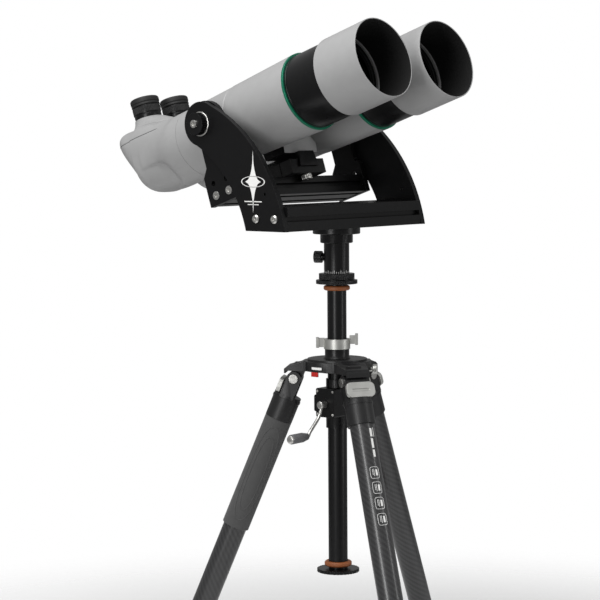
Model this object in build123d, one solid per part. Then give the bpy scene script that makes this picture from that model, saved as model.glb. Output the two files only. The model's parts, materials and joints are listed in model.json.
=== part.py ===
"""Large right-angle binoculars on a tilting cradle, a panning fork and a tripod with a geared centre column.

Millimetres, +Z up, -Y is the way the binoculars look, and the user stands on the +Y side.
Everything is drawn with the column's axis on Z and the tilt axis at Z = 0, and export_all()
then moves it so that the origin is under the middle of the whole, on the floor.
Left and right are the user's: the left tube is on +X.
"""
from build123d import *
import math
import os

# Tilt axis, tubes and their pose
TILT = 18.4                 # how far the tubes point above level
PIVOT_Y = 139.3             # tilt axis behind the column's axis
TUBE_X = 80.0               # each tube's axis from the middle
SIDES = {"left": 1, "right": -1}

# Objective end, as distances u along the tube in front of the tilt axis
HOOD_R, HOOD_WALL = 66.0, 2.2
HOOD_BACK, HOOD_FRONT = 234.3, 325.5
HOOD_LAND = 22.0            # rear stretch of the hood that runs on the collar
HOOD_TRAVEL = 68.0
COLLAR_R, COLLAR_BORE = 62.5, 57.0
COLLAR_START, COLLAR_BACK, COLLAR_FRONT = 132.0, 165.0, 252.0
ACCENT_BACK, ACCENT_R = 161.0, 65.8
LENS_R, LENS_SEAT = 53.9, 238.0
TUBE_FRONT_R, TUBE_MID_R, TUBE_REAR_R = 65.9, 62.0, 59.0
TUBE_MID, TUBE_REAR, TUBE_WALL = 22.0, -99.0, 4.0

# Prism housings and eyepieces; w is measured at right angles to the tubes, upwards
HOUSING_R, HOUSING_REAR, HOUSING_TOP, HOUSING_WALL = 59.0, -287.0, 72.0, 4.0
HOUSING_IN, HOUSING_OUT = 71.0, -39.0      # sides of the housing from the tube's axis
SPIGOT_R, SPIGOT_LENGTH = 54.0, 14.0
RUNNING = 0.05                             # radial clearance of a running fit
CLEAR = 0.35                               # gap between faces of different bodies
EYE_X, EYE_U = 36.5, -249.5                # eyepiece axis from the middle, and along the tube
NECK_BOTTOM_R, NECK_TOP_R, NECK_TOP = 29.5, 26.5, 99.5
EYE_BORE_R = 20.0
EYE_BOTTOM, EYE_R, EYE_STEP, EYE_TOP = 82.5, 24.2, 113.5, 124.5
CUP_R, CUP_TOP = 24.6, 128.5

# Cradle
CRADLE_ARM_IN, CRADLE_ARM_OUT = 156.0, 166.0
CRADLE_HEAD_R, WASHER_R = 38.0, 30.0
CRADLE_BEAM = (60.0, 30.0)                 # along the tube and across it
CRADLE_BEAM_W = -118.4                     # its middle
CRADLE_SPACING = 30.0
SADDLE_BACK, SADDLE_FRONT, SADDLE_HALF, SADDLE_TOP = -40.0, 51.0, 42.0, -79.0
BAR_TOP, BAR_BOTTOM, BAR_TOP_HALF, BAR_BOTTOM_HALF = -66.0, -92.0, 18.0, 23.0
BAR_BACK, BAR_FRONT = -44.0, 55.0
SADDLE_KNOB_U, SADDLE_KNOB_R = 42.0, 9.0

# Fork
FORK_ARM_IN, FORK_ARM_OUT = 168.0, 178.0
FORK_HEAD_R = 36.5
FORK_BEAM = (80.0, 40.0)
FORK_BEAM_Y, FORK_BEAM_Z = -3.8, -152.4    # its middle
FORK_SPACING = 40.0
TRUNNION_R, TILT_STUD_R = 10.0, 6.0
TILT_KNOB_R, TILT_KNOB_LENGTH = 18.5, 14.0

# Azimuth bearing
BEARING_TOP, HUB_TOP = -248.9, -172.4
SPINDLE_R = 12.0
HUB_R, HUB_NECK_R, FLANGE_R = 21.1, 27.2, 39.5
PAN_KNOB_AZ, PAN_KNOB_Z, PAN_KNOB_R = 115.0, -222.0, 10.0

# Centre column and its gearing
COLUMN_R, COLUMN_BORE, COLUMN_TOP, COLUMN_BOTTOM = 16.0, 12.0, -250.0, -745.4
COLUMN_FLAT = 13.5                         # flat that the pinion shaft runs beside
GEAR_Z, GEAR_AZ = -465.0, 184.3
GUIDE_R, GUIDE_BOTTOM = 18.8, -507.0       # plain tube of the gearbox round the column
PINION_T = 17.0                            # pinion shaft from the column's axis, sideways
RACK_MODULE, RACK_PINION_TEETH = 1.5, 8
TRAIN_MODULE, CRANK_TEETH, SHAFT_TEETH = 1.0, 24, 10
RACK_WIDTH, RACK_TOP, RACK_BOTTOM = 8.0, -376.5, -690.0
CRANK_FACE, CRANK_HUB, CRANK_RADIUS, CRANK_BAR_R = 34.0, 47.0, 48.0, 3.0
GRIP_START, GRIP_END, GRIP_R = 84.0, 128.0, 8.0
FOOT_DISC_R, FOOT_THREAD_R, FOOT_THREAD_DEPTH = 35.4, 4.2, 14.0

# Crown and legs
CROWN_TOP, CROWN_STEP, CROWN_BOTTOM, CROWN_R = -390.8, -398.0, -412.0, 49.6
COLLAR_RIM = -375.4                        # top of the collar that the lock ring squeezes
ROOF_HALF = 27.0                           # half the width of a crown arm
HINGE_R, HINGE_Z, SPREAD = 71.0, -424.0, 22.3
LEG_AZIMUTHS = {"side": 4.5, "rear": 124.5, "front": 244.5}
LEG_LENGTH = 640.0                         # hinge to floor, along the leg
TONGUE_HALF, EAR_HALF, EAR_R = 12.0, 22.0, 12.0
PIN_R = 5.0
LEG_TUBE_R, LEG_TUBE_WALL, LEG_TUBE_END = 20.0, 2.2, 560.0
SOCKET_R, SOCKET_END = 23.2, 74.0
SLEEVE_R, SLEEVE_END = 23.0, 272.0
LOWER_TUBE_R, LOWER_TUBE_TOP, LOWER_TUBE_END = 17.3, 210.0, 622.0
TWIST_R, TWIST_START, TWIST_END = 25.0, 546.0, 594.0
FOOT_R = 21.0

FLOOR_Z = HINGE_Z - LEG_LENGTH * math.cos(math.radians(SPREAD))
FLOOR_PLANE_SIZE = 1000.0


# Shapes that repeat -------------------------------------------------------------------------
def lathe(*points):
    """A body turned about Z, from (radius, height) corners."""
    outline = Polyline(*[(r, 0, z) for r, z in points], close=True)
    return revolve(make_face(outline), Axis.Z)


def pipe(r_out, r_in, low, high):
    """A round tube on Z."""
    return lathe((r_in, low), (r_out, low), (r_out, high), (r_in, high))


def rod(r, low, high):
    """A round bar on Z."""
    return Location((0, 0, (low + high) / 2)) * Cylinder(r, high - low)


def block(x, y, z):
    """A box between the limits given as (low, high) pairs."""
    centre = [(a + b) / 2 for a, b in (x, y, z)]
    return Location(centre) * Box(x[1] - x[0], y[1] - y[0], z[1] - z[0])


def toothed(teeth, root_r, tip_r, share, low, high, phase=0.0):
    """A toothed or fluted disc: each tooth takes share of its pitch at the tip."""
    points = []
    step = 2 * math.pi / teeth
    for i in range(teeth):
        middle = math.radians(phase) + i * step
        for r, half in ((root_r, -0.34), (tip_r, -share / 2), (tip_r, share / 2), (root_r, 0.34)):
            a = middle + half * step
            points.append((r * math.cos(a), r * math.sin(a), low))
    return extrude(make_face(Polyline(*points, close=True)), high - low, dir=(0, 0, 1))


def gear(teeth, module, low, high, phase=0.0):
    """A spur gear on Z with straight flanks and room for its mate."""
    pitch_r = teeth * module / 2
    return toothed(teeth, pitch_r - 1.2 * module, pitch_r + 0.8 * module, 0.24, low, high, phase)


def along_x(x, y=0.0, z=0.0, sign=1):
    """Place a body drawn on Z so that its Z runs outwards along +X or -X."""
    return Location((x, y, z), (0, 90 * sign, 0))


# Frames -------------------------------------------------------------------------------------
HEAD = Location((0, PIVOT_Y, 0), (-TILT, 0, 0))


def on_tube(side):
    """Frame on a tube's axis: Z is forwards along the tube, and its Y is upwards."""
    return HEAD * Location((SIDES[side] * TUBE_X, 0, 0), (90, 0, 0))


def side_plane(x=0.0):
    """Plane across X in the tilted head, with u forwards and w upwards."""
    return Plane(origin=(x, 0, 0), x_dir=(0, -1, 0), z_dir=(-1, 0, 0))


def leg_frame(azimuth):
    """Frame at a leg's hinge: X outwards, Y along the hinge pin, and the leg runs down -Z."""
    a = math.radians(azimuth)
    hinge = Location((HINGE_R * math.cos(a), HINGE_R * math.sin(a), HINGE_Z), (0, 0, azimuth))
    return hinge * Location((0, 0, 0), (0, -SPREAD, 0))


GEAR_FRAME = Location((0, 0, GEAR_Z), (0, 0, GEAR_AZ))


# Binoculars ---------------------------------------------------------------------------------
def tube_outside():
    """Outside of the main tube: widens towards the front, with a groove in front of the bridge."""
    groove_r, shoulder_r = TUBE_MID_R - 1.4, TUBE_MID_R - 0.6
    return [(TUBE_REAR_R, TUBE_REAR), (TUBE_REAR_R + 0.6, -60), (shoulder_r, TUBE_MID - 3),
            (groove_r, TUBE_MID - 2), (groove_r, TUBE_MID), (TUBE_MID_R, TUBE_MID + 1),
            (TUBE_FRONT_R, ACCENT_BACK)]


def tube_shell():
    """Main tube, bored for the collar in front and for the housing's spigot behind."""
    return lathe(
        *tube_outside(), (COLLAR_BORE + 1, ACCENT_BACK), (COLLAR_BORE + 1, COLLAR_START - 2),
        (TUBE_MID_R - TUBE_WALL - 1, TUBE_MID), (SPIGOT_R + RUNNING, -70),
        (SPIGOT_R + RUNNING, TUBE_REAR))


def bridge():
    """Casting that joins the tubes, with a web between them and the dovetail bar below."""
    body = extrude(side_plane() * make_face(Polyline(
        (-8, -30), (-3, BAR_TOP), (43, BAR_TOP), (48, -30), (60, 0), (60, 24), (-40, 24), (-40, 0),
        close=True)), 41, both=True)
    for side in SIDES:
        body -= HEAD.inverse() * on_tube(side) * lathe((0, TUBE_REAR), *tube_outside(), (0, ACCENT_BACK))
    corners = [(-BAR_TOP_HALF, BAR_TOP), (BAR_TOP_HALF, BAR_TOP), (BAR_BOTTOM_HALF, BAR_BOTTOM),
               (-BAR_BOTTOM_HALF, BAR_BOTTOM)]
    dovetail = Polyline(*[(x, -BAR_BACK, w) for x, w in corners], close=True)
    bar = extrude(make_face(dovetail), BAR_FRONT - BAR_BACK, dir=(0, -1, 0))
    return HEAD * (body + bar)


def collar():
    """Black collar in front of the tube that holds the lens and carries the hood."""
    return lathe(
        (COLLAR_BORE - 3, COLLAR_START), (COLLAR_BORE + 1, COLLAR_START), (COLLAR_BORE + 1, COLLAR_BACK),
        (COLLAR_R, COLLAR_BACK), (COLLAR_R, COLLAR_FRONT - 1), (COLLAR_R - 1, COLLAR_FRONT),
        (50, COLLAR_FRONT), (50, COLLAR_FRONT - 3), (LENS_R, COLLAR_FRONT - 3), (LENS_R, LENS_SEAT),
        (50, LENS_SEAT), (50, LENS_SEAT - 4), (COLLAR_BORE - 3, LENS_SEAT - 10))


def lens():
    """Objective lens: a flat-rimmed disc with a spherical cap on each face."""
    low, high, bulge, clear_r = LENS_SEAT, LENS_SEAT + 8, 3.5, 49.5
    ball_r = (clear_r ** 2 + bulge ** 2) / (2 * bulge)
    front = Location((0, 0, high + bulge - ball_r)) * Sphere(ball_r) & rod(clear_r, high - 1, high + 9)
    back = Location((0, 0, low - bulge + ball_r)) * Sphere(ball_r) & rod(clear_r, low - 9, low + 1)
    return rod(LENS_R, low, high) + front + back


def hood():
    """Dew shield: thin tube with a rear land that runs on the collar."""
    bore = HOOD_R - HOOD_WALL
    land_end = HOOD_BACK + HOOD_LAND
    return lathe(
        (COLLAR_R + RUNNING, HOOD_BACK), (HOOD_R - 0.8, HOOD_BACK), (HOOD_R, HOOD_BACK + 0.8),
        (HOOD_R, HOOD_FRONT - 0.6), (HOOD_R - 0.6, HOOD_FRONT), (bore, HOOD_FRONT), (bore, land_end),
        (COLLAR_R + RUNNING, land_end))


def housing_form(inset):
    """The prism housing's bulb, drawn in from its outside by inset; x is towards the middle."""
    d = inset
    side = FilletPolyline(
        (-120, -56 + d), (-120, 57 - d), (-205, HOUSING_TOP - d), (HOUSING_REAR + d, HOUSING_TOP - d),
        (HOUSING_REAR + d, 36 - d / 2), (-232 + d / 2, -50 + d), (-190, -57 + d),
        radius=[1, 30, 8, 14, 22, 26, 1], close=True)
    half = (HOUSING_IN - HOUSING_OUT) / 2 - d
    middle = (HOUSING_IN + HOUSING_OUT) / 2
    turn = HOUSING_REAR + (HOUSING_IN - HOUSING_OUT) / 2
    plan = make_face([
        Line((middle - half, 120, 0), (middle - half, -turn, 0)),
        ThreePointArc((middle - half, -turn, 0), (middle, half - turn, 0), (middle + half, -turn, 0)),
        Line((middle + half, -turn, 0), (middle + half, 175, 0)),
        Line((middle + half, 175, 0), (HOUSING_R - d - 14, 120, 0)),
        Line((HOUSING_R - d - 14, 120, 0), (middle - half, 120, 0))])
    tall = extrude(Location((0, 0, -100)) * plan, 200, dir=(0, 0, 1))
    return tall & extrude(side_plane() * make_face(side), 100, both=True)


def prism_housing(side):
    """Cast housing that turns the light up to the eyepiece, with its neck and its spigot."""
    eye = Location((TUBE_X - EYE_X, -EYE_U, 0))
    barrel = Location((0, 0, 0), (90, 0, 0))
    body = housing_form(0)
    body += barrel * rod(HOUSING_R, -150, TUBE_REAR - CLEAR)
    body += eye * lathe((0, 60), (NECK_BOTTOM_R + 2, 60), (NECK_BOTTOM_R, 82), (NECK_TOP_R, NECK_TOP),
                        (0, NECK_TOP))
    body -= housing_form(HOUSING_WALL)
    body -= barrel * rod(SPIGOT_R - 3, -146, TUBE_REAR + SPIGOT_LENGTH + 1)
    body += barrel * pipe(SPIGOT_R, SPIGOT_R - 3, TUBE_REAR - 6, TUBE_REAR + SPIGOT_LENGTH)
    body -= eye * rod(EYE_BORE_R, 60, NECK_TOP + 1)
    if side == "left":
        body = mirror(body, Plane.YZ)
    return HEAD * Location((SIDES[side] * TUBE_X, 0, 0)) * body


def at_eye(side):
    """Frame on an eyepiece's axis, with Z along it."""
    return HEAD * Location((SIDES[side] * EYE_X, -EYE_U, 0))


def eyepiece():
    """Focusing eyepiece barrel with its grip band."""
    return lathe(
        (15, EYE_BOTTOM), (EYE_BORE_R - RUNNING, EYE_BOTTOM), (EYE_BORE_R - RUNNING, NECK_TOP),
        (EYE_R, NECK_TOP), (EYE_R, EYE_STEP - 3), (EYE_R - 1.4, EYE_STEP - 2.4), (EYE_R - 1.4, EYE_STEP),
        (21, EYE_STEP), (21, EYE_TOP - 1),
        (20, EYE_TOP), (13, EYE_TOP), (13, EYE_TOP - 4), (15, EYE_TOP - 6))


def eyecup():
    """Soft eyecup that pulls up along the eyepiece."""
    return lathe(
        (21 + CLEAR, EYE_STEP + CLEAR), (CUP_R - 0.6, EYE_STEP + CLEAR), (CUP_R, EYE_STEP + 1.5),
        (CUP_R, CUP_TOP - 3), (CUP_R - 1.6, CUP_TOP - 0.6), (CUP_R - 3.6, CUP_TOP), (18.5, CUP_TOP - 1),
        (17, EYE_TOP + 1), (17, EYE_TOP + CLEAR), (21 + CLEAR, EYE_TOP + CLEAR))


# Cradle -------------------------------------------------------------------------------------
def slotted_beam(wide, tall, slots_wide, opening, length):
    """T-slotted beam along Z: slots on every face and a screw bore in each square cell."""
    beam = Box(wide, tall, length)
    pitch = wide / slots_wide
    lip, room, depth = 0.11 * pitch, opening + 0.2 * pitch, 0.125 * pitch
    cells = [pitch * (i - (slots_wide - 1) / 2) for i in range(slots_wide)]
    places = [(c, s * tall / 2, 0 if s < 0 else 180) for c in cells for s in (-1, 1)]
    places += [(s * wide / 2, 0, 90 if s > 0 else -90) for s in (-1, 1)]
    cut = block((-opening / 2, opening / 2), (-1, lip + 0.1), (-length, length))
    cut += block((-room / 2, room / 2), (lip, lip + depth), (-length, length))
    for x, y, turn in places:
        beam -= Location((x, y, 0), (0, 0, turn)) * cut
    for c in cells:
        beam -= Location((c, 0, 0)) * Cylinder(4.0, length)
    return beam


def cradle_arm(side):
    """Side plate of the cradle, with its friction washer and the trunnion that the fork holds."""
    s = SIDES[side]
    outline = make_face(Polyline((-22, 0), (22, 0), (22, -70), (33, -84), (33, -134), (-33, -134),
                                 (-33, -84), (-22, -70), close=True)) + Circle(CRADLE_HEAD_R)
    plate = extrude(side_plane() * outline, CRADLE_ARM_OUT - CRADLE_ARM_IN, dir=(1, 0, 0))
    plate = Location((CRADLE_ARM_IN, 0, 0)) * plate
    plate += along_x(CRADLE_ARM_OUT) * rod(WASHER_R, -1, FORK_ARM_IN - CRADLE_ARM_OUT - CLEAR)
    plate += along_x(CRADLE_ARM_OUT) * rod(TRUNNION_R, -1, FORK_ARM_OUT - CRADLE_ARM_OUT)
    plate -= along_x(CRADLE_ARM_IN) * rod(TILT_STUD_R + RUNNING, -1, 40)
    for u in (-CRADLE_SPACING / 2, CRADLE_SPACING / 2):
        plate -= along_x(CRADLE_ARM_IN, -u, CRADLE_BEAM_W) * rod(4, -1, 20)
        plate -= along_x(CRADLE_ARM_OUT, -u, CRADLE_BEAM_W) * rod(7, -3, 2)
        plate -= along_x(CRADLE_ARM_IN, -u, -98) * rod(4.5, -1, 20)
    plate -= along_x(CRADLE_ARM_IN, -26, -76) * rod(2, -1, 20)
    if s < 0:
        plate = mirror(plate, Plane.YZ)
    return HEAD * plate


def cradle_beam():
    """Cross beam of the cradle."""
    beam = slotted_beam(*CRADLE_BEAM, 2, 8.2, 2 * CRADLE_ARM_IN)
    return HEAD * Location((0, 0, CRADLE_BEAM_W), (0, 90, 0)) * Rotation(0, 0, 90) * beam


def cradle_screws():
    """Four flush screws that hold the cradle's arms to its beam."""
    screws = []
    for s in (-1, 1):
        for u in (-CRADLE_SPACING / 2, CRADLE_SPACING / 2):
            screw = rod(4, -36, -3) + rod(7, -3, 0.8) - toothed(6, 3.0, 3.0, 0.5, -1.6, 2)
            screws.append(HEAD * along_x(s * CRADLE_ARM_OUT, -u, CRADLE_BEAM_W, s) * screw)
    return Compound(children=screws)


def saddle():
    """Clamp on the cradle's beam that the dovetail bar slides in."""
    low = CRADLE_BEAM_W + CRADLE_BEAM[1] / 2
    body = block((-SADDLE_HALF, SADDLE_HALF), (-SADDLE_FRONT, -SADDLE_BACK), (low, SADDLE_TOP))
    slope = (BAR_BOTTOM_HALF - BAR_TOP_HALF) / (BAR_TOP - BAR_BOTTOM)
    top_half = BAR_TOP_HALF + CLEAR - slope * (SADDLE_TOP + 1 - BAR_TOP)
    low_half = BAR_BOTTOM_HALF + CLEAR + slope * CLEAR
    channel = make_face(Polyline(
        (-top_half, 200, SADDLE_TOP + 1), (top_half, 200, SADDLE_TOP + 1),
        (low_half, 200, BAR_BOTTOM - CLEAR), (-low_half, 200, BAR_BOTTOM - CLEAR), close=True))
    body -= extrude(channel, 400, dir=(0, -1, 0))
    body -= Location((0, -SADDLE_KNOB_U, low)) * rod(3 + RUNNING, -1, 12)
    for u in (-16, 26):
        body -= block((-SADDLE_HALF - 1, -SADDLE_HALF + 2), (-u - 0.6, -u + 0.6), (low - 1, SADDLE_TOP + 1))
    return HEAD * body


def saddle_knob():
    """Knurled clamp screw under the saddle's front."""
    low = CRADLE_BEAM_W + CRADLE_BEAM[1] / 2
    knob = toothed(24, SADDLE_KNOB_R - 0.7, SADDLE_KNOB_R, 0.4, -9, -1.2) + rod(3, -1.3, 10)
    knob += rod(5, -1.3, -CLEAR)
    return HEAD * Location((0, -SADDLE_KNOB_U, low)) * knob


# Fork ---------------------------------------------------------------------------------------
def fork_outline():
    """Side of a fork arm, as Y behind the tilt axis and Z."""
    base = FORK_BEAM_Z - FORK_BEAM[1] / 2
    edge = [
        ThreePointArc((-9.8, 34.8), (-119, -39.5), (-185.5, base)),
        Line((-185.5, base), (-100, base)),
        ThreePointArc((-100, base), (-61, -93), (13.5, -33)),
        Line((13.5, -33), (-9.8, 34.8))]
    return make_face(edge) + Circle(FORK_HEAD_R)


def fork_arm(side):
    """Curved side plate of the fork."""
    plane = Plane(origin=(FORK_ARM_IN, PIVOT_Y, 0), x_dir=(0, 1, 0), z_dir=(1, 0, 0))
    arm = extrude(plane * fork_outline(), FORK_ARM_OUT - FORK_ARM_IN, dir=(1, 0, 0))
    arm -= along_x(FORK_ARM_IN, PIVOT_Y) * rod(TRUNNION_R + RUNNING, -1, 20)
    for y in (FORK_BEAM_Y - FORK_SPACING / 2, FORK_BEAM_Y + FORK_SPACING / 2):
        arm -= along_x(FORK_ARM_IN, y, FORK_BEAM_Z) * rod(4, -1, 20)
    arm -= along_x(FORK_ARM_IN, FORK_BEAM_Y + 1, -113) * rod(2.5, -1, 20)
    return arm if side == "left" else mirror(arm, Plane.YZ)


def fork_beam():
    """Cross beam of the fork, on the azimuth hub."""
    beam = slotted_beam(*FORK_BEAM, 2, 8.2, 2 * FORK_ARM_IN)
    return Location((0, FORK_BEAM_Y, FORK_BEAM_Z), (0, 90, 0)) * Rotation(0, 0, 90) * beam


def fork_screws():
    """Four button-head screws that hold the fork's arms to its beam."""
    screws = []
    for s in (-1, 1):
        for y in (FORK_BEAM_Y - FORK_SPACING / 2, FORK_BEAM_Y + FORK_SPACING / 2):
            screw = rod(4, -40, 0) + lathe((0, 0), (7, 0), (7, 1.6), (5, 4), (0, 4))
            screw -= toothed(6, 2.6, 2.6, 0.5, 1.2, 5)
            screws.append(along_x(s * FORK_ARM_OUT, y, FORK_BEAM_Z, s) * screw)
    return Compound(children=screws)


def tilt_knob(side):
    """Tension knob on a trunnion: silver skirt, fluted black grip and bolt head."""
    knob = rod(TILT_KNOB_R + 0.6, CLEAR, 2.4)
    knob += toothed(30, TILT_KNOB_R - 0.8, TILT_KNOB_R, 0.4, 2.3, TILT_KNOB_LENGTH)
    knob += rod(6.5, TILT_KNOB_LENGTH - 0.1, TILT_KNOB_LENGTH + 3)
    knob -= toothed(6, 3.4, 3.4, 0.5, TILT_KNOB_LENGTH + 0.6, TILT_KNOB_LENGTH + 4)
    knob += rod(TILT_STUD_R, -20, CLEAR + 0.1)
    s = SIDES[side]
    return along_x(s * FORK_ARM_OUT, PIVOT_Y, 0, s) * knob


# Azimuth bearing ----------------------------------------------------------------------------
def azimuth_base():
    """Knurled base on the column, with the spindle that the hub turns on."""
    base = toothed(72, 33.8, 34.5, 0.4, -266.1, -259.7) + rod(28.4, -259.8, -258.4)
    base += toothed(64, 29.1, 29.7, 0.4, -258.5, BEARING_TOP)
    base += rod(SPINDLE_R, BEARING_TOP - 0.1, -206)
    return base - rod(COLUMN_R, -280, COLUMN_TOP)


def azimuth_hub():
    """Panning hub with the flange under the fork."""
    hub = lathe((0, BEARING_TOP + CLEAR), (HUB_R, BEARING_TOP + CLEAR), (HUB_R, -198.5),
                (HUB_NECK_R - 1, -198), (HUB_NECK_R, -197), (HUB_NECK_R, -184), (FLANGE_R - 1, -183),
                (FLANGE_R, -182), (FLANGE_R, HUB_TOP), (0, HUB_TOP))
    hub -= rod(SPINDLE_R + RUNNING, -260, -204)
    return hub - pan_axis() * rod(4 + RUNNING, 10, 40)


def pan_axis():
    """Frame of the azimuth lock screw, with Z outwards."""
    return Location((0, 0, PAN_KNOB_Z), (0, 0, PAN_KNOB_AZ)) * Location((0, 0, 0), (0, 90, 0))


def azimuth_lock_knob():
    """Thumb screw that locks panning."""
    knob = rod(4, SPINDLE_R + CLEAR, 24) + rod(6.5, HUB_R + 1, 25)
    return pan_axis() * (knob + toothed(20, PAN_KNOB_R - 0.8, PAN_KNOB_R, 0.4, 25, 38))


# Column and gearing -------------------------------------------------------------------------
def gear_side(part):
    """Move a body drawn on Z to the gearbox, with Z outwards along the crank's axis."""
    return GEAR_FRAME * Location((0, 0, 0), (0, 90, 0)) * part


def rack_pitch_line():
    """Sideways distance of the rack's pitch line from the column's axis."""
    return PINION_T - RACK_MODULE * RACK_PINION_TEETH / 2


def centre_column():
    """Column tube, with the flat and the groove for the rack on one side."""
    tube = pipe(COLUMN_R, COLUMN_BORE, COLUMN_BOTTOM, COLUMN_TOP) - GEAR_FRAME * (
        block((-20, 20), (-30, -COLUMN_FLAT), (RACK_BOTTOM - GEAR_Z, RACK_TOP - GEAR_Z)))
    half = RACK_WIDTH / 2
    return tube - GEAR_FRAME * block((-half, half), (-30, -8), (RACK_BOTTOM - GEAR_Z, RACK_TOP - GEAR_Z))


def column_rack():
    """Rack let into the column."""
    pitch = math.pi * RACK_MODULE
    line = rack_pitch_line()
    tip, root = line + 0.8 * RACK_MODULE, line - 1.2 * RACK_MODULE
    low, high = RACK_BOTTOM - GEAR_Z, RACK_TOP - GEAR_Z
    count = int(max(-low, high) / pitch)
    points = [(0, -8, low), (0, -root, low)]
    for i in range(-count, count + 1):
        if low + pitch < i * pitch < high - pitch:
            for y, part_of_pitch in ((root, -0.34), (tip, -0.12), (tip, 0.12), (root, 0.34)):
                points.append((0, -y, (i + part_of_pitch) * pitch))
    points += [(0, -root, high), (0, -8, high)]
    bar = extrude(make_face(Polyline(*points, close=True)), RACK_WIDTH / 2, both=True, dir=(1, 0, 0))
    return GEAR_FRAME * bar


def pinion_shaft():
    """Shaft beside the column: a driven gear at the crank's end and the rack pinion."""
    shaft = rod(3, -12, 29)
    shaft += gear(RACK_PINION_TEETH, RACK_MODULE, -3.6, 3.6, 90 + 180 / RACK_PINION_TEETH)
    shaft += gear(SHAFT_TEETH, TRAIN_MODULE, 20.5, 26, 90 + 180 / SHAFT_TEETH)
    return gear_side(Location((0, -PINION_T, 0)) * shaft)


def gearbox():
    """Gear housing round the column, with a bored guide below."""
    box = block((-19, CRANK_FACE), (-19, 19), (-22, 26.3))
    box += block((-19, 28), (-27.5, 1), (-14, 14))
    box = fillet(box.edges().filter_by(Axis.X), 3)
    box += rod(GUIDE_R + 0.1, GUIDE_BOTTOM - GEAR_Z, -21) + rod(GUIDE_R, 26, HINGE_Z - 1 - GEAR_Z)
    box -= rod(COLUMN_R + RUNNING, -60, 60)
    chamber = gear_side(rod(14.2, 19.6, 27)).moved(GEAR_FRAME.inverse())
    pocket = rod(7.8, -5, 5) + rod(6.6, 19.6, 27) + rod(3 + RUNNING, -13, 30)
    shaft_room = gear_side(Location((0, -PINION_T, 0)) * pocket).moved(GEAR_FRAME.inverse())
    bearing = gear_side(rod(5 + RUNNING, 18.5, 40)).moved(GEAR_FRAME.inverse())
    return GEAR_FRAME * (box - chamber - shaft_room - bearing)


def crank_arm():
    """Crank: shaft with its gear, slanting arm and the pin for the grip."""
    shaft = rod(5, 19, CRANK_HUB) + gear(CRANK_TEETH, TRAIN_MODULE, 20.2, 26.4, 0)
    hub = rod(6.4, CRANK_FACE + CLEAR, CRANK_HUB + 3)
    path = Polyline((0, 0, CRANK_HUB - 3), (15, 0, CRANK_HUB - 1), (CRANK_RADIUS - 7, 0, 76),
                    (CRANK_RADIUS, 0, 79))
    bar = Location(tuple(path.vertices()[0])) * Sphere(CRANK_BAR_R)
    for a, b in zip(path.vertices()[:-1], path.vertices()[1:]):
        run = Vector(*b) - Vector(*a)
        stretch = Plane(origin=tuple(a), z_dir=run) * rod(CRANK_BAR_R, 0, run.length)
        bar += stretch + Location(tuple(b)) * Sphere(CRANK_BAR_R)
    pin = Location((CRANK_RADIUS, 0, 0)) * rod(3, 79, GRIP_END - 4)
    return gear_side(shaft + hub + bar + pin)


def crank_grip():
    """Turning grip on the crank's pin."""
    grip = lathe((3 + RUNNING, GRIP_START), (5.4, GRIP_START), (GRIP_R, GRIP_START + 14),
                 (GRIP_R, GRIP_END - 1.5), (GRIP_R - 1.5, GRIP_END), (3 + RUNNING, GRIP_END))
    return gear_side(Location((CRANK_RADIUS, 0, 0)) * grip)


def column_foot():
    """Disc at the column's foot with a threaded hole for a hook or a weight."""
    disc = toothed(36, FOOT_DISC_R - 1.2, FOOT_DISC_R, 0.5, COLUMN_BOTTOM - 5.5, COLUMN_BOTTOM)
    disc += rod(COLUMN_BORE, COLUMN_BOTTOM - 0.1, COLUMN_BOTTOM + 20)
    return disc - rod(FOOT_THREAD_R, COLUMN_BOTTOM - 6, COLUMN_BOTTOM - 5.5 + FOOT_THREAD_DEPTH)


def column_bumpers():
    """Rubber rings that end the column's travel."""
    top, bottom = -277.0, -741.0
    upper = lathe((COLUMN_R, top), (20, top), (22, top + 2), (22, top + 6), (20, top + 8),
                  (COLUMN_R, top + 8))
    lower = lathe((COLUMN_R, bottom), (21, bottom), (22.9, bottom + 2), (22.9, bottom + 6),
                  (21, bottom + 8), (COLUMN_R, bottom + 8))
    return Compound(children=[upper, lower])


def column_lock_ring():
    """Locking ring with two wings."""
    top, bottom = -358.2, COLLAR_RIM + CLEAR
    ring = pipe(22, COLUMN_R + CLEAR, bottom, top)
    wings = block((-35, -18), (-3.5, 3.5), (-372, -357)) + block((-35, -30), (-5.5, 5.5), (-373, -356))
    wings += block((18, 35), (-3.5, 3.5), (-367, -353)) + block((30, 35), (-5.5, 5.5), (-368.5, -350))
    return ring + Location((0, 0, 0), (0, 0, -49)) * (wings - rod(21, -400, -300))


# Crown and legs -----------------------------------------------------------------------------
def column_collar():
    """Flanged collar on the crown that the lock ring squeezes."""
    return lathe((COLUMN_R + RUNNING, CROWN_TOP), (23, CROWN_TOP), (20.4, CROWN_TOP + 5),
                 (20.4, COLLAR_RIM), (COLUMN_R + RUNNING, COLLAR_RIM))


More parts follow.
